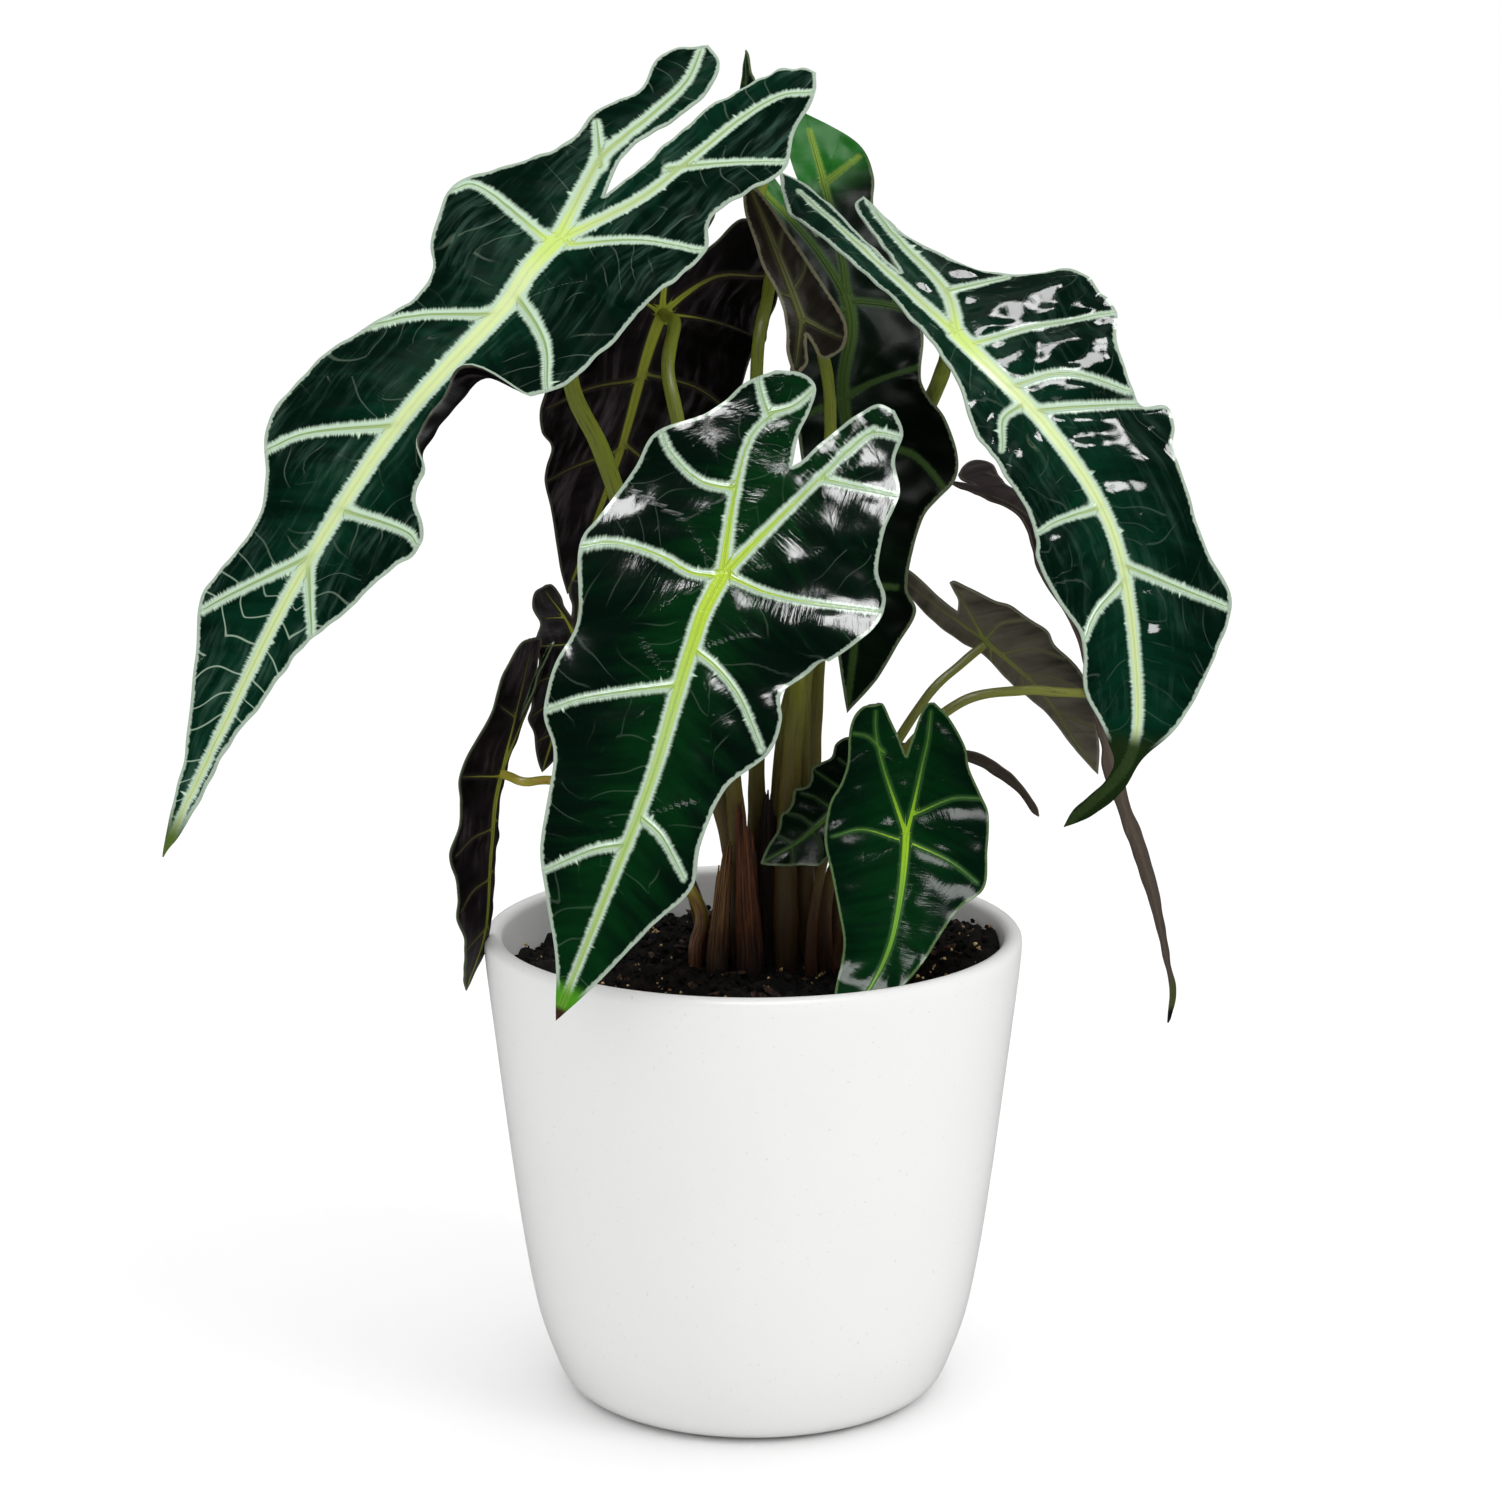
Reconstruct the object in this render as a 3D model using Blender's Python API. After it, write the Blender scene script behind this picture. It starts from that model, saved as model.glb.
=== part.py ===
"""Potted Polly alocasia: a glazed pot, its soil, and fourteen leaves on their stalks, at rest."""

from math import cos, pi, radians, sin

import bmesh
import bpy
import numpy as np

MM = 0.001

# Driving dimensions, in millimetres
RIM_RADIUS = 75.0
FOOT_RADIUS = 46.0
POT_HEIGHT = 132.0
POT_FLOOR = 6.0
POT_WALL = 3.6
LIP_RADIUS = 2.6
SOIL_LEVEL = 119.0
SOIL_PLAY = 0.5
GAP = 0.3
HOLE_PLAY = 0.45
ROOT_DEPTH = 16.0
BLADE_THICKNESS = 0.8

for old in list(bpy.data.objects):
    bpy.data.objects.remove(old)


# Materials
def material(name, colour, roughness):
    made = bpy.data.materials.new(name)
    made.use_nodes = True
    shader = made.node_tree.nodes["Principled BSDF"]
    shader.inputs["Base Color"].default_value = (*colour, 1)
    shader.inputs["Roughness"].default_value = roughness
    made.diffuse_color = (*colour, 1)
    return made


GLAZE = material("white_glaze", (0.86, 0.86, 0.85), 0.35)
EARTH = material("potting_soil", (0.03, 0.02, 0.015), 0.95)
DARK_LEAF = material("dark_leaf", (0.006, 0.045, 0.025), 0.25)
YOUNG_LEAF = material("young_leaf", (0.01, 0.11, 0.03), 0.25)
STALK = material("stalk", (0.16, 0.2, 0.02), 0.4)
HUSK = material("husk", (0.13, 0.045, 0.02), 0.6)


def finish(thing, shade):
    thing.data.materials.clear()
    thing.data.materials.append(shade)
    if thing.type == "MESH":
        thing.data.shade_smooth()
    return thing


# Pot and soil: outlines turned about the axis
def turned(name, profile, shade, steps):
    mesh = bpy.data.meshes.new(name)
    corners = [(x * MM, 0, z * MM) for x, z in profile]
    mesh.from_pydata(corners, [(i, i + 1) for i in range(len(corners) - 1)], [])
    thing = bpy.data.objects.new(name, mesh)
    bpy.context.scene.collection.objects.link(thing)
    screw = thing.modifiers.new("turn", "SCREW")
    screw.steps = screw.render_steps = steps
    screw.use_merge_vertices = True
    screw.merge_threshold = 0.00001
    return finish(thing, shade)


OUTSIDE = [
    (FOOT_RADIUS, 0), (50.8, 1.3), (54.2, 4.2), (55.8, 7.6), (58, 13.5), (61.6, 25), (64.4, 40), (68, 66),
    (71.9, 100),
    (RIM_RADIUS - 0.2, POT_HEIGHT - 8),
]


def inner_radius(height):
    radii, heights = zip(*OUTSIDE)
    return np.interp(height, heights, radii) - POT_WALL


INSIDE = [(0, POT_FLOOR), (46, POT_FLOOR), (51, 9), (55.5, 16)]
INSIDE += [(inner_radius(height), height) for height in (40, 66, 90, 110)]
LIP = [
    (RIM_RADIUS - LIP_RADIUS + LIP_RADIUS * cos(turn), POT_HEIGHT - LIP_RADIUS + LIP_RADIUS * sin(turn))
    for turn in np.radians(range(180, -1, -30))
]
pot = turned("pot", INSIDE + LIP + OUTSIDE[::-1] + [(0, 0)], GLAZE, 64)

SOIL_EDGE = INSIDE[-1][0] - SOIL_PLAY
SOIL_TOP = [
    (0, SOIL_LEVEL + 2), (20, SOIL_LEVEL + 1.4), (45, SOIL_LEVEL), (62, SOIL_LEVEL - 1.2),
    (SOIL_EDGE, SOIL_LEVEL - 1),
]
SOIL_SIDE = [(max(radius - SOIL_PLAY, 0), height + SOIL_PLAY) for radius, height in INSIDE[::-1]]
soil = turned("soil", SOIL_TOP + SOIL_SIDE, EARTH, 48)


# Leaf shape: a flat outline laid along a bent midrib
TANGENT_SPAN = 3.0
FOLD_STEPS = 24
RIPPLE_REACH = 25.0
RIPPLE_MOST = 1.2
RIPPLE_SHIFT = 1.6


def curve_through(points, fineness=24):
    """Catmull-Rom curve through the points, and the length along it."""
    knots = np.array(points, float)
    knots = np.vstack([2 * knots[0] - knots[1], knots, 2 * knots[-1] - knots[-2]])
    steps = np.linspace(0, 1, fineness, endpoint=False)[:, None]
    runs = []
    for a, b, c, d in zip(knots, knots[1:], knots[2:], knots[3:]):
        bend = (2 * a - 5 * b + 4 * c - d) * steps**2 + (3 * b - a - 3 * c + d) * steps**3
        runs.append(0.5 * (2 * b + (c - a) * steps + bend))
    path = np.vstack(runs + [knots[-2:-1]])
    return path, np.r_[0, np.cumsum(np.linalg.norm(np.diff(path, axis=0), axis=1))]


def sampled(path, length, at):
    return np.stack([np.interp(at, length, path[:, axis]) for axis in range(path.shape[1])], -1)


def unit(vectors):
    return vectors / np.linalg.norm(vectors, axis=-1, keepdims=True)


def eased(share):
    share = np.clip(share, 0, 1)
    return share * share * (3 - 2 * share)


class Blade:
    """Places flat points (x across to the right, y along, 0 where the stalk joins) on the bent leaf.

    faces: where the upper side looks, at the joint and at the tip
    fold: how far each half rises from the midrib, left and right, in degrees
    wave: height and length of the ripple in the margins
    roll: a stretch of the right half whose margin curls over
    """

    def __init__(self, midrib, faces, fold, wave, roll=None, joint=1):
        self.path, length = curve_through(midrib)
        joint = np.argmin(np.linalg.norm(self.path - np.array(midrib[joint], float), axis=1))
        self.length = length - length[joint]
        self.reach = self.length[-1]
        self.faces, self.fold, self.wave, self.roll = np.array(faces, float), fold, wave, roll

    def frame(self, y):
        inside = np.clip(y, self.length[0], self.reach)
        ahead = sampled(self.path, self.length, np.minimum(inside + TANGENT_SPAN, self.reach))
        behind = sampled(self.path, self.length, np.maximum(inside - TANGENT_SPAN, self.length[0]))
        along = unit(ahead - behind)
        middle = sampled(self.path, self.length, inside) + along * (y - inside)[..., None]
        share = eased(y / self.reach)[..., None]
        face = self.faces[0] * (1 - share) + self.faces[1] * share
        up = unit(face - (face * along).sum(-1, keepdims=True) * along)
        return middle, np.cross(up, along), up

    def place(self, flat):
        x, y = flat[..., 0], flat[..., 1]
        middle, across, up = self.frame(y)
        left, reach = x < 0, np.abs(x)
        run = reach[..., None] * (np.arange(FOLD_STEPS) + 0.5) / FOLD_STEPS
        slope = np.radians(np.where(left, self.fold[0], self.fold[1]))[..., None] + np.zeros(FOLD_STEPS)
        if self.roll:
            roll = self.roll
            near = eased((roll["half"] - np.abs(y - roll["centre"])) / roll["ramp"]) * ~left
            bend = np.clip((run - roll["start"]) / roll["run"], 0, 1)
            slope += radians(roll["turn"]) * near[..., None] * bend
        out = reach * np.cos(slope).mean(-1)
        lift = reach * np.sin(slope).mean(-1)
        height, period = self.wave
        beat = np.sin(2 * pi * y / period + np.where(left, 0, RIPPLE_SHIFT))
        lift += height * np.clip(reach / RIPPLE_REACH, 0, RIPPLE_MOST) ** 2 * beat
        return middle + np.where(left, -out, out)[..., None] * across + lift[..., None] * up


def half_rows(margin, sinus, reach, lobe_rows, midrib_rows, columns):
    """Rows of flat points from the inner edge (sinus, then midrib) out to the margin, lobe end to tip."""
    outer, outer_length = curve_through(margin + [(0, reach)])
    inner = np.array([margin[0]] + sinus, float)
    inner_length = np.r_[0, np.cumsum(np.linalg.norm(np.diff(inner, axis=0), axis=1))]
    bottom = sinus[-1][1]
    lobe_share = inner_length[-1] / (inner_length[-1] + reach - bottom)
    lobe = np.linspace(0, 1, lobe_rows + 1)
    body = np.linspace(0, 1, midrib_rows + 1)[1:]
    starts = np.vstack([
        sampled(inner, inner_length, lobe * inner_length[-1]),
        np.stack([0 * body, bottom + body * (reach - bottom)], -1),
    ])
    shares = np.r_[lobe * lobe_share, lobe_share + body * (1 - lobe_share)]
    ends = sampled(outer, outer_length, outer_length[-1] * shares)
    across = np.linspace(0, 1, columns + 1)[None, :, None]
    return starts[:, None] * (1 - across) + ends[:, None] * across


def blade(name, shade, shape, margins, sinuses, rows):
    """A thin closed leaf blade: two triangulated halves welded along the midrib, then thickened."""
    mesh = bmesh.new()
    for side in (0, 1):
        flat = half_rows(margins[side], sinuses[side], shape.reach, *rows)
        grid = [[mesh.verts.new(spot * MM) for spot in row] for row in shape.place(flat)]
        for near, far in zip(grid, grid[1:]):
            for a, b, c, d in zip(near, near[1:], far[1:], far):
                for corners in ((a, b, c), (a, c, d)):
                    mesh.faces.new(corners if side == 1 else corners[::-1])
    bmesh.ops.remove_doubles(mesh, verts=mesh.verts, dist=0.00002)
    data = bpy.data.meshes.new(name)
    mesh.to_mesh(data)
    mesh.free()
    thing = bpy.data.objects.new(name, data)
    bpy.context.scene.collection.objects.link(thing)
    thicken = thing.modifiers.new("thickness", "SOLIDIFY")
    thicken.thickness = BLADE_THICKNESS * MM
    thicken.offset = 0
    return finish(thing, shade)


# Stalks and sheaths: tapering tubes that stand in plain holes in the soil
def stalk(name, shade, path, radii):
    """A round tapering stalk through the points, with closed ends."""
    line = bpy.data.curves.new(name, "CURVE")
    line.dimensions = "3D"
    line.bevel_depth = MM
    line.bevel_resolution = 1
    line.use_fill_caps = True
    points, length = curve_through(path, 2)
    spline = line.splines.new("POLY")
    spline.points.add(len(points) - 1)
    thick = np.interp(length / length[-1], np.linspace(0, 1, len(radii)), radii)
    for point, spot, radius in zip(spline.points, points, thick):
        point.co = (*(spot * MM), 1)
        point.radius = radius
    thing = bpy.data.objects.new(name, line)
    bpy.context.scene.collection.objects.link(thing)
    return finish(thing, shade)


def planted(foot):
    """The lowest run of a stalk, upright in its hole and just above it."""
    x, y = foot
    return [(x, y, SOIL_LEVEL - ROOT_DEPTH), (x, y, SOIL_LEVEL + 3), (x, y, SOIL_LEVEL + 8)]


def bored(foot, radius):
    """The cutter of a plain upright hole in the soil, which reaches above it."""
    bottom, top = SOIL_LEVEL - ROOT_DEPTH - GAP, SOIL_LEVEL + 10
    bpy.ops.mesh.primitive_cylinder_add(
        vertices=16,
        radius=(radius + HOLE_PLAY) * MM,
        depth=(top - bottom) * MM,
        location=(foot[0] * MM, foot[1] * MM, (bottom + top) / 2 * MM),
    )
    cutter = bpy.context.object
    cutter.hide_render = True
    cutter.display_type = "WIRE"
    return cutter


# The outline that the smaller leaves share, for a leaf 100 long and 29 to each side
PLAIN_LENGTH = 100
PLAIN_WIDTH = 29
PLAIN_MARGIN = [
    (13, -43), (20, -40), (24, -30), (22, -18), (26, -8), (29, 3), (25, 12), (24, 22), (28, 33), (23, 43),
    (21, 52), (21, 61), (14, 71), (9, 84), (4, 94),
]
PLAIN_SINUS = [(7, -43), (3, -34), (1.6, -26), (0, -18)]
SINUS_LEAST = 1.2


def plain(points, reach, width, side, lobes):
    """The shared outline at this leaf's size; lobes lengthens what lies behind the joint."""
    wide, long = width / PLAIN_WIDTH, reach / PLAIN_LENGTH
    sized = [(max(x * wide, SINUS_LEAST) if x else 0, y * long) for x, y in points]
    return [(side * x, y * lobes if y < 0 else y) for x, y in sized]


LEAVES = {
    "big_left": dict(
        midrib=[
            (1, 22, 369), (-52, -15, 323), (-66, -26, 306), (-92, -44, 278), (-117, -60, 240),
            (-138, -70, 199), (-152, -74, 170)
        ],
        faces=[(-0.25, -0.75, 0.62), (-0.45, -0.85, 0.25)], fold=(8, 8), wave=(0.8, 38),
        roll=dict(centre=60, half=17, ramp=8, start=12, run=5, turn=150),
        left=[
            (-14, -75), (-20, -68), (-21, -61), (-18, -52), (-20, -46), (-22, -38), (-20, -29), (-22, -20),
            (-31, -6), (-34, 4), (-30, 12),
            (-24, 25), (-22, 36), (-26, 52), (-30, 60), (-32, 72), (-30, 85), (-23, 96), (-19, 106),
            (-20, 119), (-22, 131), (-16, 145), (-7, 168), (-4, 182)
        ],
        right=[
            (18, -84), (25, -76), (29, -63), (36, -53), (36, -42), (32, -28), (39, -18), (40, 0),
            (36, 24), (35, 36), (29, 43), (23, 49), (20.5, 55), (20, 62), (19, 68), (17, 75), (19, 83),
            (27, 90), (28, 95), (24, 104), (20, 116), (12, 130), (8, 146), (4, 162), (3, 180)
        ],
        sinuses=[
            [(-8, -73), (-4, -66), (-3, -57), (-3.5, -50), (-5.5, -42), (-6, -34), (-4, -27), (0, -19)],
            [(12, -83), (7, -78), (4, -70), (1.5, -62), (0.8, -52), (0.8, -42), (0.8, -30), (0, -19)],
        ],
        rows=(6, 36, 7),
        stalk=[(-5, 3, 151), (-15, 1, 188), (-31, -2, 236), (-41, -4, 266), (-49, -6, 285)],
        foot=(-6, 6), radii=(3.4, 2.9, 2.7, 2.6, 2.2),
    ),
    "front": dict(
        midrib=[
            (22, -46, 286), (-8, -62, 241), (-16, -68, 223), (-26, -76, 191), (-37, -80, 163),
            (-51, -80, 128)
        ],
        faces=[(0.05, -0.85, 0.5), (-0.1, -0.95, 0.2)], fold=(8, 8), wave=(1, 32),
        left=[
            (-17, -53), (-22, -46), (-24, -39), (-27, -32), (-34, -22), (-34, -12), (-35, 2), (-36, 8),
            (-32, 15), (-30, 24), (-32, 33), (-32, 41), (-31, 48), (-26, 57), (-23, 70), (-20, 83),
            (-14, 94), (-6, 108)
        ],
        right=[
            (15, -60), (20, -56), (22, -49), (28, -42), (30, -32), (34, -22), (40, -16), (41, -6),
            (33, 14), (26, 24), (28, 32), (27, 41), (19, 52), (18, 66), (20, 77), (14, 90), (7, 108),
            (3, 117)
        ],
        sinuses=[
            [(-11, -56), (-6, -55), (-4, -49), (-3, -42), (0, -34)],
            [(10, -59), (6, -52), (3, -43), (1.5, -37), (0, -34)],
        ],
        rows=(5, 20, 5),
        stalk=[(9, -5, 153), (11, -6, 185), (12, -14, 205), (7, -32, 222), (-4, -50, 237)],
        foot=(9, -5), radii=(3.6, 3.0, 2.7, 2.5, 2.2),
    ),
    "big_right": dict(
        midrib=[
            (20, 20, 334), (54, -25, 299), (77, -38, 276), (93, -47, 251), (99, -54, 220),
            (98, -58, 193), (82, -48, 172)
        ],
        faces=[(0.3, -0.7, 0.6), (0.35, -0.9, 0.3)], fold=(8, 8), wave=(0.8, 30),
        left=[
            (-8, -78), (-13, -69), (-17, -58), (-14, -47), (-11, -34), (-9, -17), (-9, -1), (-12, 12),
            (-20, 24), (-22, 40), (-22, 54), (-26, 69), (-22, 82), (-16, 94), (-16, 108), (-12, 116),
            (-7, 124), (-3, 130), (-1.6, 137), (-1.6, 148)
        ],
        right=[
            (8, -60), (9, -50), (10, -41), (16, -25), (26, -14), (40, -4), (42, 14), (40, 23), (32, 29),
            (28, 37), (27, 43), (33, 46), (31, 51), (26, 56), (24, 68), (25, 78), (28, 88), (24, 99),
            (17, 110), (10, 119), (5, 124), (3, 129), (3.6, 136), (3.4, 144), (2, 151)
        ],
        sinuses=[
            [(-5, -73), (-3, -65), (-2, -52), (-1.5, -40), (0, -28)],
            [(4, -58), (2.5, -50), (1.5, -39), (0, -28)],
        ],
        rows=(5, 26, 4),
        stalk=[(8, 7, 150), (13, 15, 199), (35, 30, 247), (50, 29, 277), (53, 6, 291)],
        foot=(9, 8), radii=(4.0, 3.6, 2.8, 2.4, 2.2),
    ),
    "young": dict(
        midrib=[
            (41, -20, 199), (41, -34, 166), (37.5, -46, 143), (31.5, -53, 130), (25.5, -60, 125.5),
            (20.5, -65.5, 124.5)
        ],
        faces=[(0.0, -0.9, 0.4), (0.0, -0.6, 0.8)], fold=(8, 8), wave=(0.5, 24),
        left=[
            (-8, -36), (-12, -35), (-15, -30), (-16, -20), (-18, -14), (-21, -8), (-22, 3), (-19, 14),
            (-15, 26), (-12, 34), (-10, 41), (-8, 48), (-4, 55)
        ],
        right=[
            (8, -36.5), (12, -32), (16, -24), (17, -18), (20, -11), (22, -6), (22, 3), (22, 12), (16, 18),
            (12, 26), (10, 32), (8, 38), (6, 46), (3, 54)
        ],
        sinuses=[
            [(-6, -36.2), (-4, -32), (-2, -27.5), (0, -22)],
            [(6, -36.2), (4, -33), (2, -27.5), (0, -22)],
        ],
        rows=(3, 8, 4),
        stalk=[(27, -12, 138), (36, -22, 153), (40, -29, 162)],
        foot=(24, -9), radii=(2.2, 1.8, 1.5),
    ),
    "rear": dict(
        midrib=[(2, 52, 348), (26, 34, 304), (25, 22, 278), (30, 10, 238), (26, 4, 192)],
        faces=[(0.0, -0.8, 0.6), (0.0, -0.9, 0.4)], fold=(8, 8), wave=(1.2, 34),
        left=[
            (-5, -47), (-9, -37), (-9, -20), (-12, 0), (-15, 22), (-14, 38), (-14, 60), (-9, 84),
            (-4, 103)
        ],
        right=[
            (13, -55), (19, -46), (23, -36), (22, -27), (18, -20), (16, -10), (17, 2), (20, 10),
            (21, 18), (23, 31), (27, 40), (29, 50), (27, 57), (18, 64), (14, 73), (13, 82), (16, 88),
            (12, 97), (7, 108)
        ],
        sinuses=[
            [(-3, -44), (-2, -34), (0, -20)],
            [(7, -52), (4, -42), (2, -30), (0, -20)],
        ],
        rows=(4, 18, 4),
        stalk=[(16, 16, 165), (20, 36, 231), (24, 43, 278)],
        foot=(18, 12), radii=(3.0, 2.4, 2.0),
    ),
    "purple": dict(
        midrib=[(-6, 22, 329), (-25, 18, 301), (-38, 30, 259), (-53, 42, 219)],
        faces=[(-0.4, 0.8, 0.35), (-0.3, 0.85, 0.2)], fold=(6, 6), wave=(1.2, 34),
        left=[
            (-8, -36), (-20, -35), (-30, -31), (-36, -23), (-37, -8), (-36, 7), (-34, 18), (-32, 28),
            (-31, 42), (-24, 60), (-12, 78)
        ],
        right=[
            (8, -34), (18, -32), (24, -24), (22, -12), (22, 0), (25, 12), (26, 30), (24, 40), (20, 45),
            (19, 55), (13, 66), (5, 82)
        ],
        sinuses=[
            [(-4, -33), (-2, -24), (0, -14)],
            [(4, -31), (2, -24), (0, -14)],
        ],
        rows=(3, 14, 4),
        stalk=[(-5, -4, 169), (-14, -10, 237), (-20, -8, 273), (-23, -2, 288)],
        foot=(-3, -3), radii=(2.8, 2.2, 2.0, 1.9),
    ),
    "hood": dict(
        midrib=[(17, -9, 288), (13, -6, 302), (5, 6, 322), (-2, 17, 338)],
        faces=[(-0.2, -0.8, 0.5), (-0.3, -0.7, 0.7)], fold=(14, 14), wave=(0.6, 20),
        left=[
            (-3, -12.5), (-6, -12), (-9, -10.5), (-11, -7), (-11, -3), (-9, 5), (-7, 15), (-5, 25),
            (-3, 36)
        ],
        right=[
            (4, -14), (6, -14), (6.5, -8), (5, -2), (4, 4), (4, 10), (5, 18), (4.5, 26), (4, 35), (2, 42)
        ],
        sinuses=[
            [(-1.6, -11), (-0.9, -8), (0, -5)],
            [(1.6, -12), (0.9, -8), (0, -5)],
        ],
        rows=(3, 8, 3),
        stalk=[(14, 0, 196), (19, 1, 240), (21, 1, 272), (19, 0, 291)], drops=(6, 3, 1),
        foot=(15, 1), radii=(2.6, 2.0, 1.9, 1.7),
    ),
    "top": dict(
        midrib=[(-12, 30, 330), (-4, 38, 341), (-2, 50, 356), (-2, 64, 371)],
        faces=[(-0.2, 0.4, 0.9), (-0.6, 0.2, 0.5)], fold=(10, 10), wave=(0.3, 20),
        plain=(8, 8), rows=(2, 6, 3),
        stalk=[(1, 8, 224), (1, 8, 287), (4, 16, 306), (5, 20, 317), (1, 25, 328)],
        foot=(1, 11), radii=(2.6, 2.1, 1.9, 1.7),
    ),
    "grey": dict(
        midrib=[(46, 12, 230), (65, 18, 210), (80.5, 22, 195.5), (91.5, 25, 179.5), (98, 26, 170)],
        faces=[(0.3, 0.8, 0.5), (0.3, 0.8, 0.5)], fold=(8, 8), wave=(0.4, 20),
        left=[
            (-5, -21), (-7, -20), (-11, -10), (-14, -5), (-15, 2), (-16, 9), (-14, 14), (-14, 22),
            (-12, 30), (-9, 38), (-5, 46)
        ],
        right=[
            (3, -33), (7, -32), (9, -26), (9, -12), (7, -3), (4.5, 4), (6, 14), (6, 20), (4, 27),
            (2.5, 34), (1.8, 44)
        ],
        sinuses=[
            [(-4, -18), (-3, -15), (0, -12)],
            [(1.5, -28), (1.2, -20), (0, -12)],
        ],
        rows=(4, 8, 3),
        stalk=[(25, 5, 148), (34, 7, 172), (48, 10, 195), (58, 14, 204)], drops=(2,),
        foot=(23, 4), radii=(2.0, 1.5, 1.4, 1.3),
    ),
    "edge_right": dict(
        midrib=[
            (54.5, 32, 254), (78, 14, 247), (91, 8, 224), (95, 7, 197), (103, 9, 167), (111, 10, 144),
            (116.5, 8, 120), (118, 7, 111), (117, 6, 102.5)
        ],
        joint=3, faces=[(0.6, -0.6, 0.6), (0.95, -0.3, 0.2)], fold=(10, 10), wave=(0.6, 30),
        left=[
            (-2.5, -83), (-4, -82), (-6, -74), (-9, -64), (-9, -54), (-14, -46), (-17, -40), (-15, -32),
            (-11, -25), (-6, -16), (-3, -6), (-3, 6), (-3, 14), (-6, 21), (-5, 28), (-4, 34), (-5, 46), (-5, 57),
            (-3, 70), (-1.6, 82), (-2, 90)
        ],
        right=[
            (3, -84), (8, -86), (13, -85), (14, -80), (9, -74), (5, -68), (4, -61), (6, -46), (8, -30),
            (8, -10), (8, 6), (6, 18), (3, 30), (4, 46), (4, 72), (3, 82), (4.5, 89), (3, 96)
        ],
        sinuses=[
            [(-1.6, -82), (-0.9, -79), (0, -76)],
            [(1.6, -82), (0.9, -79), (0, -76)],
        ],
        rows=(2, 17, 3),
        stalk=[(22, -2, 148), (40, -2, 180), (57, -1, 196), (74, 1, 199), (84, 4, 198)], drops=(2,),
        foot=(20, -4), radii=(2.0, 1.6, 1.5, 1.4),
    ),
    "edge_left": dict(
        midrib=[(-56, -6, 213), (-69, -10, 178), (-72, -12, 157), (-74, -12, 134), (-80, -8, 116)],
        faces=[(-0.8, 0.5, 0.3), (-0.8, 0.5, 0.3)], fold=(55, 10), wave=(0.6, 24),
        plain=(10, 17), lobes=1.4, rows=(3, 10, 3),
        stalk=[(-15, 0, 138), (-31, -1, 160), (-52, -5, 174)],
        foot=(-16, -2), radii=(2.0, 1.4, 1.3),
    ),
    "tucked": dict(
        midrib=[(-53, 10, 228), (-49, 4, 212), (-53, 6, 194), (-59, 10, 174)],
        faces=[(-0.4, 0.8, 0.3), (-0.4, 0.8, 0.3)], fold=(10, 10), wave=(0.6, 16),
        plain=(12, 12), rows=(2, 6, 3),
        stalk=[(-18, 6, 144), (-36, 4, 184), (-44, 0, 203)],
        foot=(-14, 6), radii=(2.0, 1.4, 1.3),
    ),
    "low": dict(
        midrib=[(38, -6, 193), (26, -11, 173), (14, -18, 162), (2, -24, 156)],
        faces=[(0.1, -0.9, 0.4), (0.1, -0.9, 0.4)], fold=(10, 10), wave=(0.5, 16),
        plain=(12, 12), rows=(2, 6, 3),
        stalk=[(17, -9, 140), (20, -8, 155)],
        foot=(16, -9), radii=(1.8, 1.4, 1.2),
    ),
    "sliver": dict(
        midrib=[(45, 14, 180), (52, 10, 180), (63, 6, 178), (73, 2, 172), (79, -2, 164)],
        faces=[(-0.2, 0.6, 0.8), (-0.2, 0.6, 0.8)], fold=(20, 20), wave=(0.3, 14),
        plain=(4.5, 4.5), rows=(2, 6, 3),
        stalk=[(29, 10, 143), (41, 14, 166), (49, 13, 174)],
        foot=(26, 9), radii=(1.5, 1.1, 1.0),
    ),
}

SHEATHS = {
    "sheath_red": dict(foot=(-1, -9), path=[(-2, -9, 145), (-3, -8, 170)], radii=(3.2, 2.6, 0.9)),
    "sheath_tan": dict(foot=(-10, -8), path=[(-9, -8, 140), (-7, -6, 158)], radii=(2.4, 2.0, 0.8)),
    "sheath_brown": dict(foot=(4, 0), path=[(4, -1, 146), (4, -2, 172)], radii=(3.0, 2.6, 1.2)),
}

BENDS = ("midrib", "faces", "fold", "wave", "roll", "joint")

# How far below the blade the last points of its stalk lie
JOINT_DROPS = (7, 3, BLADE_THICKNESS / 2 + GAP)

cutters = []
for key, leaf in LEAVES.items():
    shape = Blade(**{word: leaf[word] for word in BENDS if word in leaf})
    if "plain" in leaf:
        lobes = leaf.get("lobes", 1)
        sizes = [(shape.reach, width, side, lobes) for width, side in zip(leaf["plain"], (-1, 1))]
        margins = [plain(PLAIN_MARGIN, *size) for size in sizes]
        sinuses = [plain(PLAIN_SINUS, *size) for size in sizes]
    else:
        margins, sinuses = (leaf["left"], leaf["right"]), leaf["sinuses"]
    blade("blade_" + key, YOUNG_LEAF if key == "young" else DARK_LEAF, shape, margins, sinuses, leaf["rows"])
    joint, _, up = shape.frame(np.array([0.0]))
    under = [tuple(joint[0] - up[0] * drop) for drop in leaf.get("drops", JOINT_DROPS)]
    stalk("petiole_" + key, STALK, planted(leaf["foot"]) + leaf["stalk"] + under, leaf["radii"])
    cutters.append(bored(leaf["foot"], leaf["radii"][0]))
for key, sheath in SHEATHS.items():
    stalk(key, HUSK, planted(sheath["foot"]) + sheath["path"], sheath["radii"])
    cutters.append(bored(sheath["foot"], sheath["radii"][0]))

holes = bpy.data.collections.new("holes")
for cutter in cutters:
    holes.objects.link(cutter)
bore = soil.modifiers.new("holes", "BOOLEAN")
bore.operation = "DIFFERENCE"
bore.operand_type = "COLLECTION"
bore.collection = holes
bore.solver = "EXACT"
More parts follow.
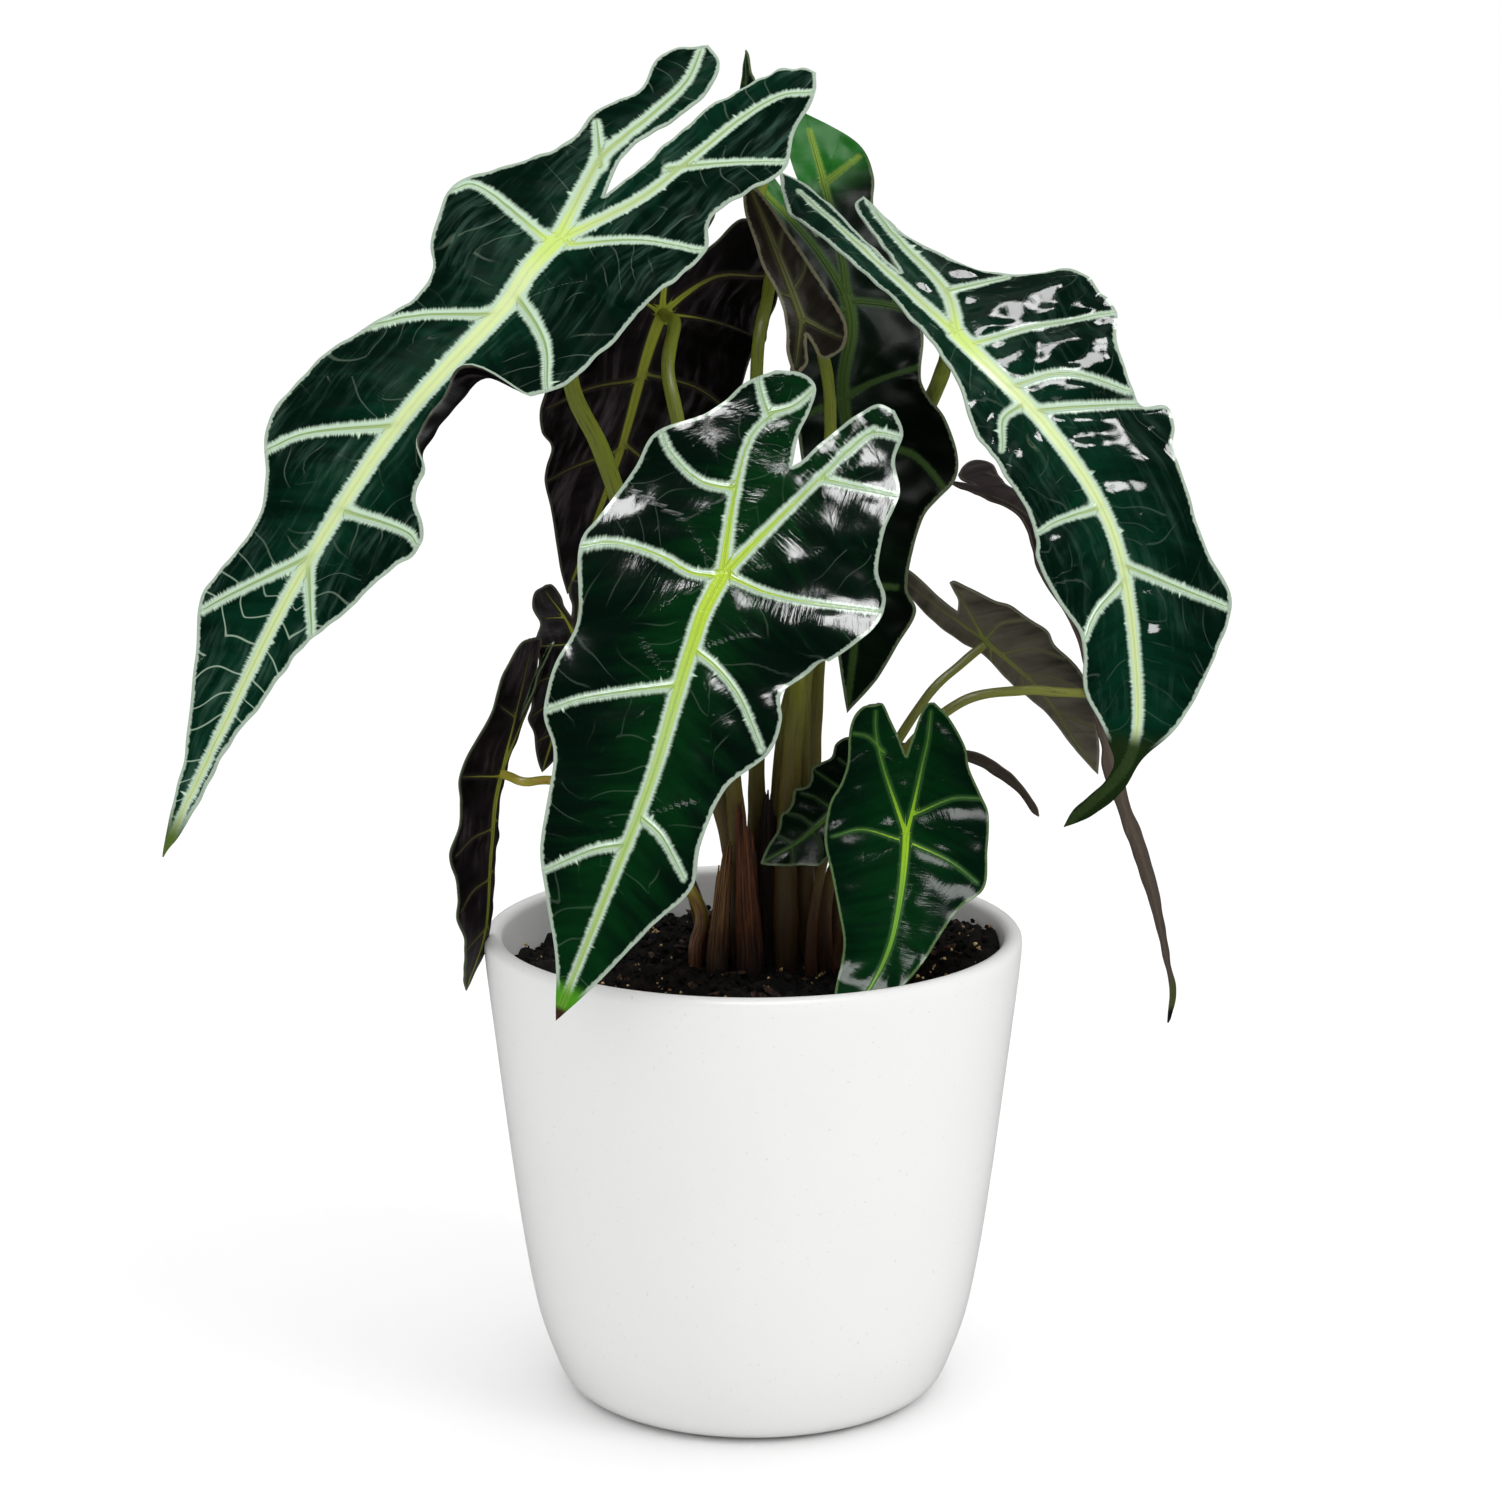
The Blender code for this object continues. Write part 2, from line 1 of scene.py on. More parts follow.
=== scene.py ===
"""Potted Polly alocasia, dressed: glazed pot, crumbly soil, stalks, papery sheaths and veined leaves."""

from math import cos, pi, radians, sin

import bpy
import numpy as np
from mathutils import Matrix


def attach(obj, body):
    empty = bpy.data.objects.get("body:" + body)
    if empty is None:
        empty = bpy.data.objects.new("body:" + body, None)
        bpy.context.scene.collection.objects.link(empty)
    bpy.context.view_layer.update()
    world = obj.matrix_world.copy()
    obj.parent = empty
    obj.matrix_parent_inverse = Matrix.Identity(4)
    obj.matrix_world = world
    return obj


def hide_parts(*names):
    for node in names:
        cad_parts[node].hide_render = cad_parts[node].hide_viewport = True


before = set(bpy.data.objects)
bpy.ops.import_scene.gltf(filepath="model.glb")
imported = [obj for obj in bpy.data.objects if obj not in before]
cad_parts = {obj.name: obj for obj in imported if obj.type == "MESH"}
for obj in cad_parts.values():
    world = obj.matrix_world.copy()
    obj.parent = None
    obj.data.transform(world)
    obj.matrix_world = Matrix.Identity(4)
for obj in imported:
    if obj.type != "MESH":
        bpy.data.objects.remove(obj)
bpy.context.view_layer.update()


# Pot
# A slip-cast pot with a thin wall and a rounded lip, white glaze fired to a soft satin.
# Its outline is raised ring by ring from the foot, over the lip and down the inside.
MM = 0.001
RIM_RADIUS = 75.0
POT_HEIGHT = 132.0
POT_FLOOR = 6.0
POT_WALL = 3.6
LIP_RADIUS = 2.6
POT_OUTSIDE = [
    (46, 0), (48.2, 0.3), (50.8, 1.2), (53, 2.7), (54.6, 4.9), (55.8, 7.6), (57.9, 13.2), (59.9, 18.8),
    (61.6, 25), (64.4, 40), (68, 66), (71.9, 100), (RIM_RADIUS - 0.2, POT_HEIGHT - 8),
]
POT_SEGMENTS = 128


def added(name, operator, **settings):
    """The object that an operator adds, with nothing else selected, under its own name."""
    bpy.ops.object.select_all(action="DESELECT")
    operator(**settings)
    piece = bpy.context.object
    piece.name = piece.data.name = name
    return piece


def select_only(*pieces):
    bpy.ops.object.select_all(action="DESELECT")
    for piece in pieces:
        piece.select_set(True)
    bpy.context.view_layer.objects.active = pieces[0]


def apply_modifier(piece, kind, **settings):
    select_only(piece)
    modifier = piece.modifiers.new(kind.lower(), kind)
    for word, value in settings.items():
        setattr(modifier, word, value)
    bpy.ops.object.modifier_apply(modifier=modifier.name)


def smoothed(piece, sharpest):
    """Smooth shading, but for edges that turn by more than this many degrees."""
    select_only(piece)
    bpy.ops.object.shade_smooth_by_angle(angle=radians(sharpest))


def dress(piece, body, slot, *nodes):
    """Rides the piece on its body and hides the plain nodes that it stands for; slot is not used."""
    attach(piece, body)
    if nodes:
        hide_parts(*nodes)


def wall_radius(height):
    radii, heights = zip(*POT_OUTSIDE)
    return np.interp(height, heights, radii) - POT_WALL


def raised_rings(name, rings, segments):
    """A turned shape, drawn up from a flat circle one ring at a time."""
    radius, height = rings[0]
    circle = dict(vertices=segments, radius=radius * MM, fill_type="NGON", location=(0, 0, height * MM))
    piece = added(name, bpy.ops.mesh.primitive_circle_add, **circle)
    select_only(piece)
    bpy.ops.object.transform_apply(location=True, rotation=True, scale=True)
    bpy.ops.object.mode_set(mode="EDIT")
    bpy.ops.mesh.select_mode(type="EDGE")
    for (inner, low), (outer, high) in zip(rings, rings[1:]):
        bpy.ops.mesh.extrude_edges_move(TRANSFORM_OT_translate={"value": (0, 0, (high - low) * MM)})
        size = outer / inner
        bpy.ops.transform.resize(value=(size, size, 1), center_override=(0, 0, high * MM))
    bpy.ops.mesh.edge_face_add()
    bpy.ops.mesh.select_all(action="SELECT")
    bpy.ops.mesh.normals_make_consistent(inside=False)
    bpy.ops.object.mode_set(mode="OBJECT")
    return piece


lip = [
    (RIM_RADIUS - LIP_RADIUS + LIP_RADIUS * cos(turn), POT_HEIGHT - LIP_RADIUS + LIP_RADIUS * sin(turn))
    for turn in np.radians(range(0, 181, 20))
]
inside = [(wall_radius(height), height) for height in (110, 90, 66, 40, 28)]
inside += [(55.5, 16), (53.8, 12.6), (51, 9), (48.8, 7), (46, POT_FLOOR), (40, POT_FLOOR)]
pot = raised_rings("pot_glazed", POT_OUTSIDE + lip + inside, POT_SEGMENTS)
apply_modifier(pot, "SUBSURF", levels=1, render_levels=1)
smoothed(pot, 40)


# Shader helpers, first needed by the glaze
def node(tree, kind, *values, **settings):
    """Adds a node, gives its inputs in order a socket or a value, and returns its first output."""
    made = tree.nodes.new("ShaderNode" + kind)
    for word, value in settings.items():
        setattr(made, word, value)
    for socket, value in zip(made.inputs, values):
        if isinstance(value, bpy.types.NodeSocket):
            tree.links.new(value, socket)
        elif value is not None:
            socket.default_value = value
    return made.outputs[0]


def maths(operation, first, second=None):
    return node(first.id_data, "Math", first, second, operation=operation)


def times(first, second):
    return maths("MULTIPLY", first, second)


def plus(first, second):
    return maths("ADD", first, second)


def minus(first, second):
    return maths("SUBTRACT", first, second)


def step(value, low, high):
    """0 at low, 1 at high, eased between."""
    return node(value.id_data, "MapRange", value, low, high, 0, 1, interpolation_type="SMOOTHSTEP")


def opaque(colour):
    return colour if isinstance(colour, bpy.types.NodeSocket) else (*colour, 1)


def mixed(share, first, second):
    """The first colour where share is 0, the second where it is 1."""
    colours = [None] * 5 + [opaque(first), opaque(second)]
    return node(share.id_data, "Mix", share, *colours, data_type="RGBA").node.outputs[2]


def stretched(place, size):
    return node(place.id_data, "Mapping", place, None, None, size)


def cloud(place, scale, detail=2, roughness=0.5):
    return node(place.id_data, "TexNoise", place, None, scale, detail, roughness)


def new_material(name, colour, roughness, **constants):
    made = bpy.data.materials.new(name)
    made.use_nodes = True
    shader = made.node_tree.nodes["Principled BSDF"]
    for word, value in (("Base Color", colour), ("Roughness", roughness), *constants.items()):
        socket = shader.inputs[word.replace("_", " ")]
        if isinstance(value, tuple):
            value = (*value, 1)
        socket.default_value = value
    return made, made.node_tree, shader


def finish_shader(tree, shader, colour=None, roughness=None, height=None, depth=0.0004, strength=0.5):
    if colour:
        tree.links.new(colour, shader.inputs["Base Color"])
    if roughness:
        tree.links.new(roughness, shader.inputs["Roughness"])
    if height:
        bump = tree.nodes.new("ShaderNodeBump")
        bump.inputs["Strength"].default_value = strength
        bump.inputs["Distance"].default_value = depth
        tree.links.new(height, bump.inputs["Height"])
        tree.links.new(bump.outputs["Normal"], shader.inputs["Normal"])


def object_place(tree):
    return tree.nodes.new("ShaderNodeTexCoord").outputs["Object"]


def attribute(tree, name, output="Vector"):
    return node(tree, "Attribute", attribute_name=name).node.outputs[output]


def read_vector(tree, name):
    return node(tree, "SeparateXYZ", attribute(tree, name)).node.outputs


glaze, tree, shader = new_material("glaze", (0.85, 0.85, 0.845), 0.36, Specular_IOR_Level=0.2)
place = object_place(tree)
cloudy = cloud(place, 14, 3)
tone = mixed(cloudy, (0.82, 0.82, 0.81), (0.86, 0.86, 0.855))
flecks = step(cloud(place, 900, 1), 0.72, 0.8)
worn = mixed(times(flecks, 0.35), tone, (0.5, 0.49, 0.47))
gloss = plus(times(cloud(place, 45, 4, 0.6), 0.16), 0.24)
peel = cloud(place, 160, 2)
finish_shader(tree, shader, worn, gloss, peel, depth=0.0003, strength=0.12)
pot.data.materials.append(glaze)
dress(pot, "root", "white_glaze", "pot")


# Soil
# Dark peat with bark chips and grains of perlite, heaped round the stalks and to the right.
# The bed is a disc pushed up by noise, and the crumbs are faceted grains scattered on it.
SOIL_LEVEL = 119.0
SOIL_RADIUS = wall_radius(SOIL_LEVEL) - 0.1
SOIL_DEPTH = 14.0
UNDERSIDE_RINGS = (0.5, 0.97)
SURFACE_RINGS = np.r_[1.0, np.linspace(0.985, 0.02, 56)]
SOIL_SEGMENTS = 160
HEAP = 2.2
EDGE_DIP = 1.2
EDGE_START = 0.86
RIGHT_HEAP = 8.0
RIGHT_HEAP_PLACE = (66.0, 12.0)
RIGHT_HEAP_REACH = (24.0, 36.0)
LUMPS = ((1.3, 17, 3), (0.8, 6, 4), (0.45, 2.6, 5))


# How far the paces of the waves in a noise spread, and how far its peaks pass its usual size
PACE_SPREAD = (0.6, 1.5)
PEAK = 1.6


def drift(points, period, seed, waves=7):
    """Smooth seeded noise, about -1 to 1, with bumps about one period across."""
    dice = np.random.default_rng(seed)
    points = np.asarray(points, float)
    total = np.zeros(points.shape[:-1])
    for _ in range(waves):
        direction = dice.normal(size=points.shape[-1])
        pace = 2 * pi / period * dice.uniform(*PACE_SPREAD) / np.linalg.norm(direction)
        total += np.sin(points @ direction * pace + dice.uniform(0, 2 * pi))
    return total / (waves / 2) ** 0.5 / PEAK


def mesh_points(piece):
    spots = np.empty(len(piece.data.vertices) * 3, np.float32)
    piece.data.vertices.foreach_get("co", spots)
    return spots.reshape(-1, 3).astype(float)


def move_points(piece, spots):
    piece.data.vertices.foreach_set("co", np.asarray(spots, np.float32).ravel())
    piece.data.update()


def soil_height(x, y):
    """Height of the soil's surface in millimetres."""
    out = np.hypot(x, y) / SOIL_RADIUS
    heap = HEAP * (1 - out**2) - EDGE_DIP * np.clip(out - EDGE_START, 0, 1) / (1 - EDGE_START)
    spots = np.stack([x, y], -1)
    off = (spots - RIGHT_HEAP_PLACE) / RIGHT_HEAP_REACH
    heap += RIGHT_HEAP * np.exp(-(off[..., 0] ** 2) - off[..., 1] ** 2)
    lumps = sum(height * drift(spots, period, seed) for height, period, seed in LUMPS)
    return SOIL_LEVEL + heap + lumps


rings = [(r * SOIL_RADIUS, SOIL_LEVEL - SOIL_DEPTH) for r in UNDERSIDE_RINGS]
rings += [(r * SOIL_RADIUS, SOIL_LEVEL) for r in SURFACE_RINGS]
soil = raised_rings("soil_bed", rings, SOIL_SEGMENTS)
spots = mesh_points(soil)
top = spots[:, 2] > (SOIL_LEVEL - 1) * MM
x, y = spots[top, 0] / MM, spots[top, 1] / MM
spots[top, 2] = soil_height(x, y) * MM
move_points(soil, spots)
select_only(soil)
bpy.ops.object.shade_smooth()

# Name, number, least and most size, proportions and seed of each sort of grain
CRUMB_SORTS = [
    ("soil_crumbs", 1500, (0.5, 1.5), (1, 1, 0.8), 11),
    ("bark_chips", 150, (1.0, 2.4), (1.5, 0.6, 0.3), 12),
    ("perlite_grains", 650, (0.2, 0.6), (1, 0.9, 0.8), 13),
]
GRAIN_KINDS = 4
GRAIN_DENTS = 0.28
GRAIN_SHOWING = (0.1, 0.7)
CHIP_TILT = 0.35
SCATTER_REACH = 0.97


def scattered(name, count, sizes, shape, seed):
    """Faceted grains, each a dented icosphere, laid at random on the bed and joined."""
    dice = np.random.default_rng(seed)
    grains = []
    for kind in range(GRAIN_KINDS):
        fineness = 1 if name == "soil_crumbs" else 2
        grain = added("grain", bpy.ops.mesh.primitive_ico_sphere_add, subdivisions=fineness, radius=1)
        corners = mesh_points(grain)
        corners *= (1 + GRAIN_DENTS * drift(corners * 3, period=2.2, seed=seed * 10 + kind))[:, None]
        corners *= shape
        faces = np.array([list(face.vertices) for face in grain.data.polygons])
        grains.append((corners, faces))
        bpy.data.objects.remove(grain)
    all_corners, all_faces, used = [], [], 0
    for number in range(count):
        corners, faces = grains[number % GRAIN_KINDS]
        out, turn = SOIL_RADIUS * SCATTER_REACH * dice.uniform() ** 0.5, dice.uniform(0, 2 * pi)
        size = dice.uniform(*sizes)
        spin = np.linalg.qr(dice.normal(size=(3, 3)))[0]
        if np.linalg.det(spin) < 0:
            spin[:, 0] *= -1
        if name == "bark_chips":
            tilt, c, s = dice.normal(0, CHIP_TILT), cos(turn * 5), sin(turn * 5)
            spin = np.array([[c, -s, 0], [s, c, 0], [0, 0, 1]]) @ np.array(
                [[cos(tilt), 0, sin(tilt)], [0, 1, 0], [-sin(tilt), 0, cos(tilt)]]
            )
        centre = np.array([out * cos(turn), out * sin(turn), 0])
        centre[2] = soil_height(centre[0], centre[1]) + size * shape[2] * dice.uniform(*GRAIN_SHOWING)
        all_corners.append(centre + size * corners @ spin.T)
        all_faces.append(faces + used)
        used += len(corners)
    mesh = bpy.data.meshes.new(name)
    mesh.from_pydata((np.vstack(all_corners) * MM).tolist(), [], np.vstack(all_faces).tolist())
    piece = bpy.data.objects.new(name, mesh)
    bpy.context.scene.collection.objects.link(piece)
    return piece


peat, tree, shader = new_material("peat", (0.02, 0.013, 0.009), 0.95, Specular_IOR_Level=0.25)
place = object_place(tree)
lumps = cloud(place, 260, 5, 0.7)
colour = mixed(step(lumps, 0.4, 0.75), (0.0015, 0.001, 0.0008), (0.016, 0.009, 0.005))
finish_shader(tree, shader, colour, None, cloud(place, 1400, 4, 0.7), depth=0.0006, strength=0.9)
bark, tree, shader = new_material("bark", (0.09, 0.035, 0.015), 0.8, Specular_IOR_Level=0.3)
place = object_place(tree)
grain = cloud(stretched(place, (900, 500, 300)), 1, 3)
colour = mixed(step(grain, 0.35, 0.7), (0.008, 0.003, 0.002), (0.09, 0.035, 0.014))
finish_shader(tree, shader, colour, None, grain, depth=0.0003, strength=0.7)
perlite, tree, shader = new_material("perlite", (0.42, 0.30, 0.14), 0.8)
place = object_place(tree)
dusty = step(cloud(place, 500, 3), 0.35, 0.7)
colour = mixed(dusty, (0.20, 0.10, 0.03), (0.75, 0.58, 0.26))
finish_shader(tree, shader, colour, None, cloud(place, 2600, 2), depth=0.0002, strength=0.6)

soil.data.materials.append(peat)
dress(soil, "root", "potting_soil", "soil")
for sort, stuff in zip(CRUMB_SORTS, (peat, bark, perlite)):
    grains = scattered(*sort)
    grains.data.materials.append(stuff)
    dress(grains, "root", "potting_soil")


# Stalks
# Each leaf stands on one fleshy round petiole that leaves the soil upright and bends to its blade.
# It is olive with fine streaks, thicker and browner at its foot, where painted shade darkens it towards the
# soil: a tube swept along a curve.
TANGENT_SPAN = 3.0
FOLD_STEPS = 24
FOLD_EASE = 7.0
RIPPLE_REACH = 25.0
RIPPLE_MOST = 1.2
RIPPLE_SHIFT = 1.6
ROOT_DEPTH = 16.0


def curve_through(points, fineness=24):
    """Catmull-Rom curve through the points, and the length along it."""
    knots = np.array(points, float)
    knots = np.vstack([2 * knots[0] - knots[1], knots, 2 * knots[-1] - knots[-2]])
    steps = np.linspace(0, 1, fineness, endpoint=False)[:, None]
    runs = []
    for a, b, c, d in zip(knots, knots[1:], knots[2:], knots[3:]):
        bend = (2 * a - 5 * b + 4 * c - d) * steps**2 + (3 * b - a - 3 * c + d) * steps**3
        runs.append(0.5 * (2 * b + (c - a) * steps + bend))
    path = np.vstack(runs + [knots[-2:-1]])
    return path, np.r_[0, np.cumsum(np.linalg.norm(np.diff(path, axis=0), axis=1))]


def sampled(path, length, at):
    return np.stack([np.interp(at, length, path[:, axis]) for axis in range(path.shape[1])], -1)


def unit(vectors):
    return vectors / np.maximum(np.linalg.norm(vectors, axis=-1, keepdims=True), 1e-9)


def eased(share):
    share = np.clip(share, 0, 1)
    return share * share * (3 - 2 * share)


class Blade:
    """Places flat points (x across to the right, y along, 0 where the stalk joins) on the bent leaf.

    midrib: points in space from the lobes to the tip; joint: which of them the stalk meets
    faces: where the upper side looks, at the joint and at the tip
    fold: how far each half rises from the midrib, left and right, in degrees
    wave: height and length of the ripple in the margins
    roll: a stretch of the right half whose margin curls over
    """

    def __init__(self, midrib, faces, wave, fold=(8, 8), roll=None, joint=1):
        self.path, length = curve_through(midrib)
        joint = np.argmin(np.linalg.norm(self.path - np.array(midrib[joint], float), axis=1))
        self.length = length - length[joint]
        self.reach = self.length[-1]
        self.faces, self.fold, self.wave, self.roll = np.array(faces, float), fold, wave, roll

    def frame(self, y):
        inside = np.clip(y, self.length[0], self.reach)
        ahead = sampled(self.path, self.length, np.minimum(inside + TANGENT_SPAN, self.reach))
        behind = sampled(self.path, self.length, np.maximum(inside - TANGENT_SPAN, self.length[0]))
        along = unit(ahead - behind)
        middle = sampled(self.path, self.length, inside) + along * (y - inside)[..., None]
        share = eased(y / self.reach)[..., None]
        face = self.faces[0] * (1 - share) + self.faces[1] * share
        up = unit(face - (face * along).sum(-1, keepdims=True) * along)
        return middle, np.cross(up, along), up

    def place(self, flat):
        x, y = flat[..., 0], flat[..., 1]
        middle, across, up = self.frame(y)
        left, reach = x < 0, np.abs(x)
        run = reach[..., None] * (np.arange(FOLD_STEPS) + 0.5) / FOLD_STEPS
        slope = np.radians(np.where(left, self.fold[0], self.fold[1]))[..., None] * eased(run / FOLD_EASE)
        if self.roll:
            roll = self.roll
            near = eased((roll["half"] - np.abs(y - roll["centre"])) / roll["ramp"]) * ~left
            bend = np.clip((run - roll["start"]) / roll["run"], 0, 1)
            slope += radians(roll["turn"]) * near[..., None] * bend
        out = reach * np.cos(slope).mean(-1)
        lift = reach * np.sin(slope).mean(-1)
        height, period = self.wave
        beat = np.sin(2 * pi * y / period + np.where(left, 0, RIPPLE_SHIFT))
        lift += height * np.clip(reach / RIPPLE_REACH, 0, RIPPLE_MOST) ** 2 * beat
        return middle + np.where(left, -out, out)[..., None] * across + lift[..., None] * up


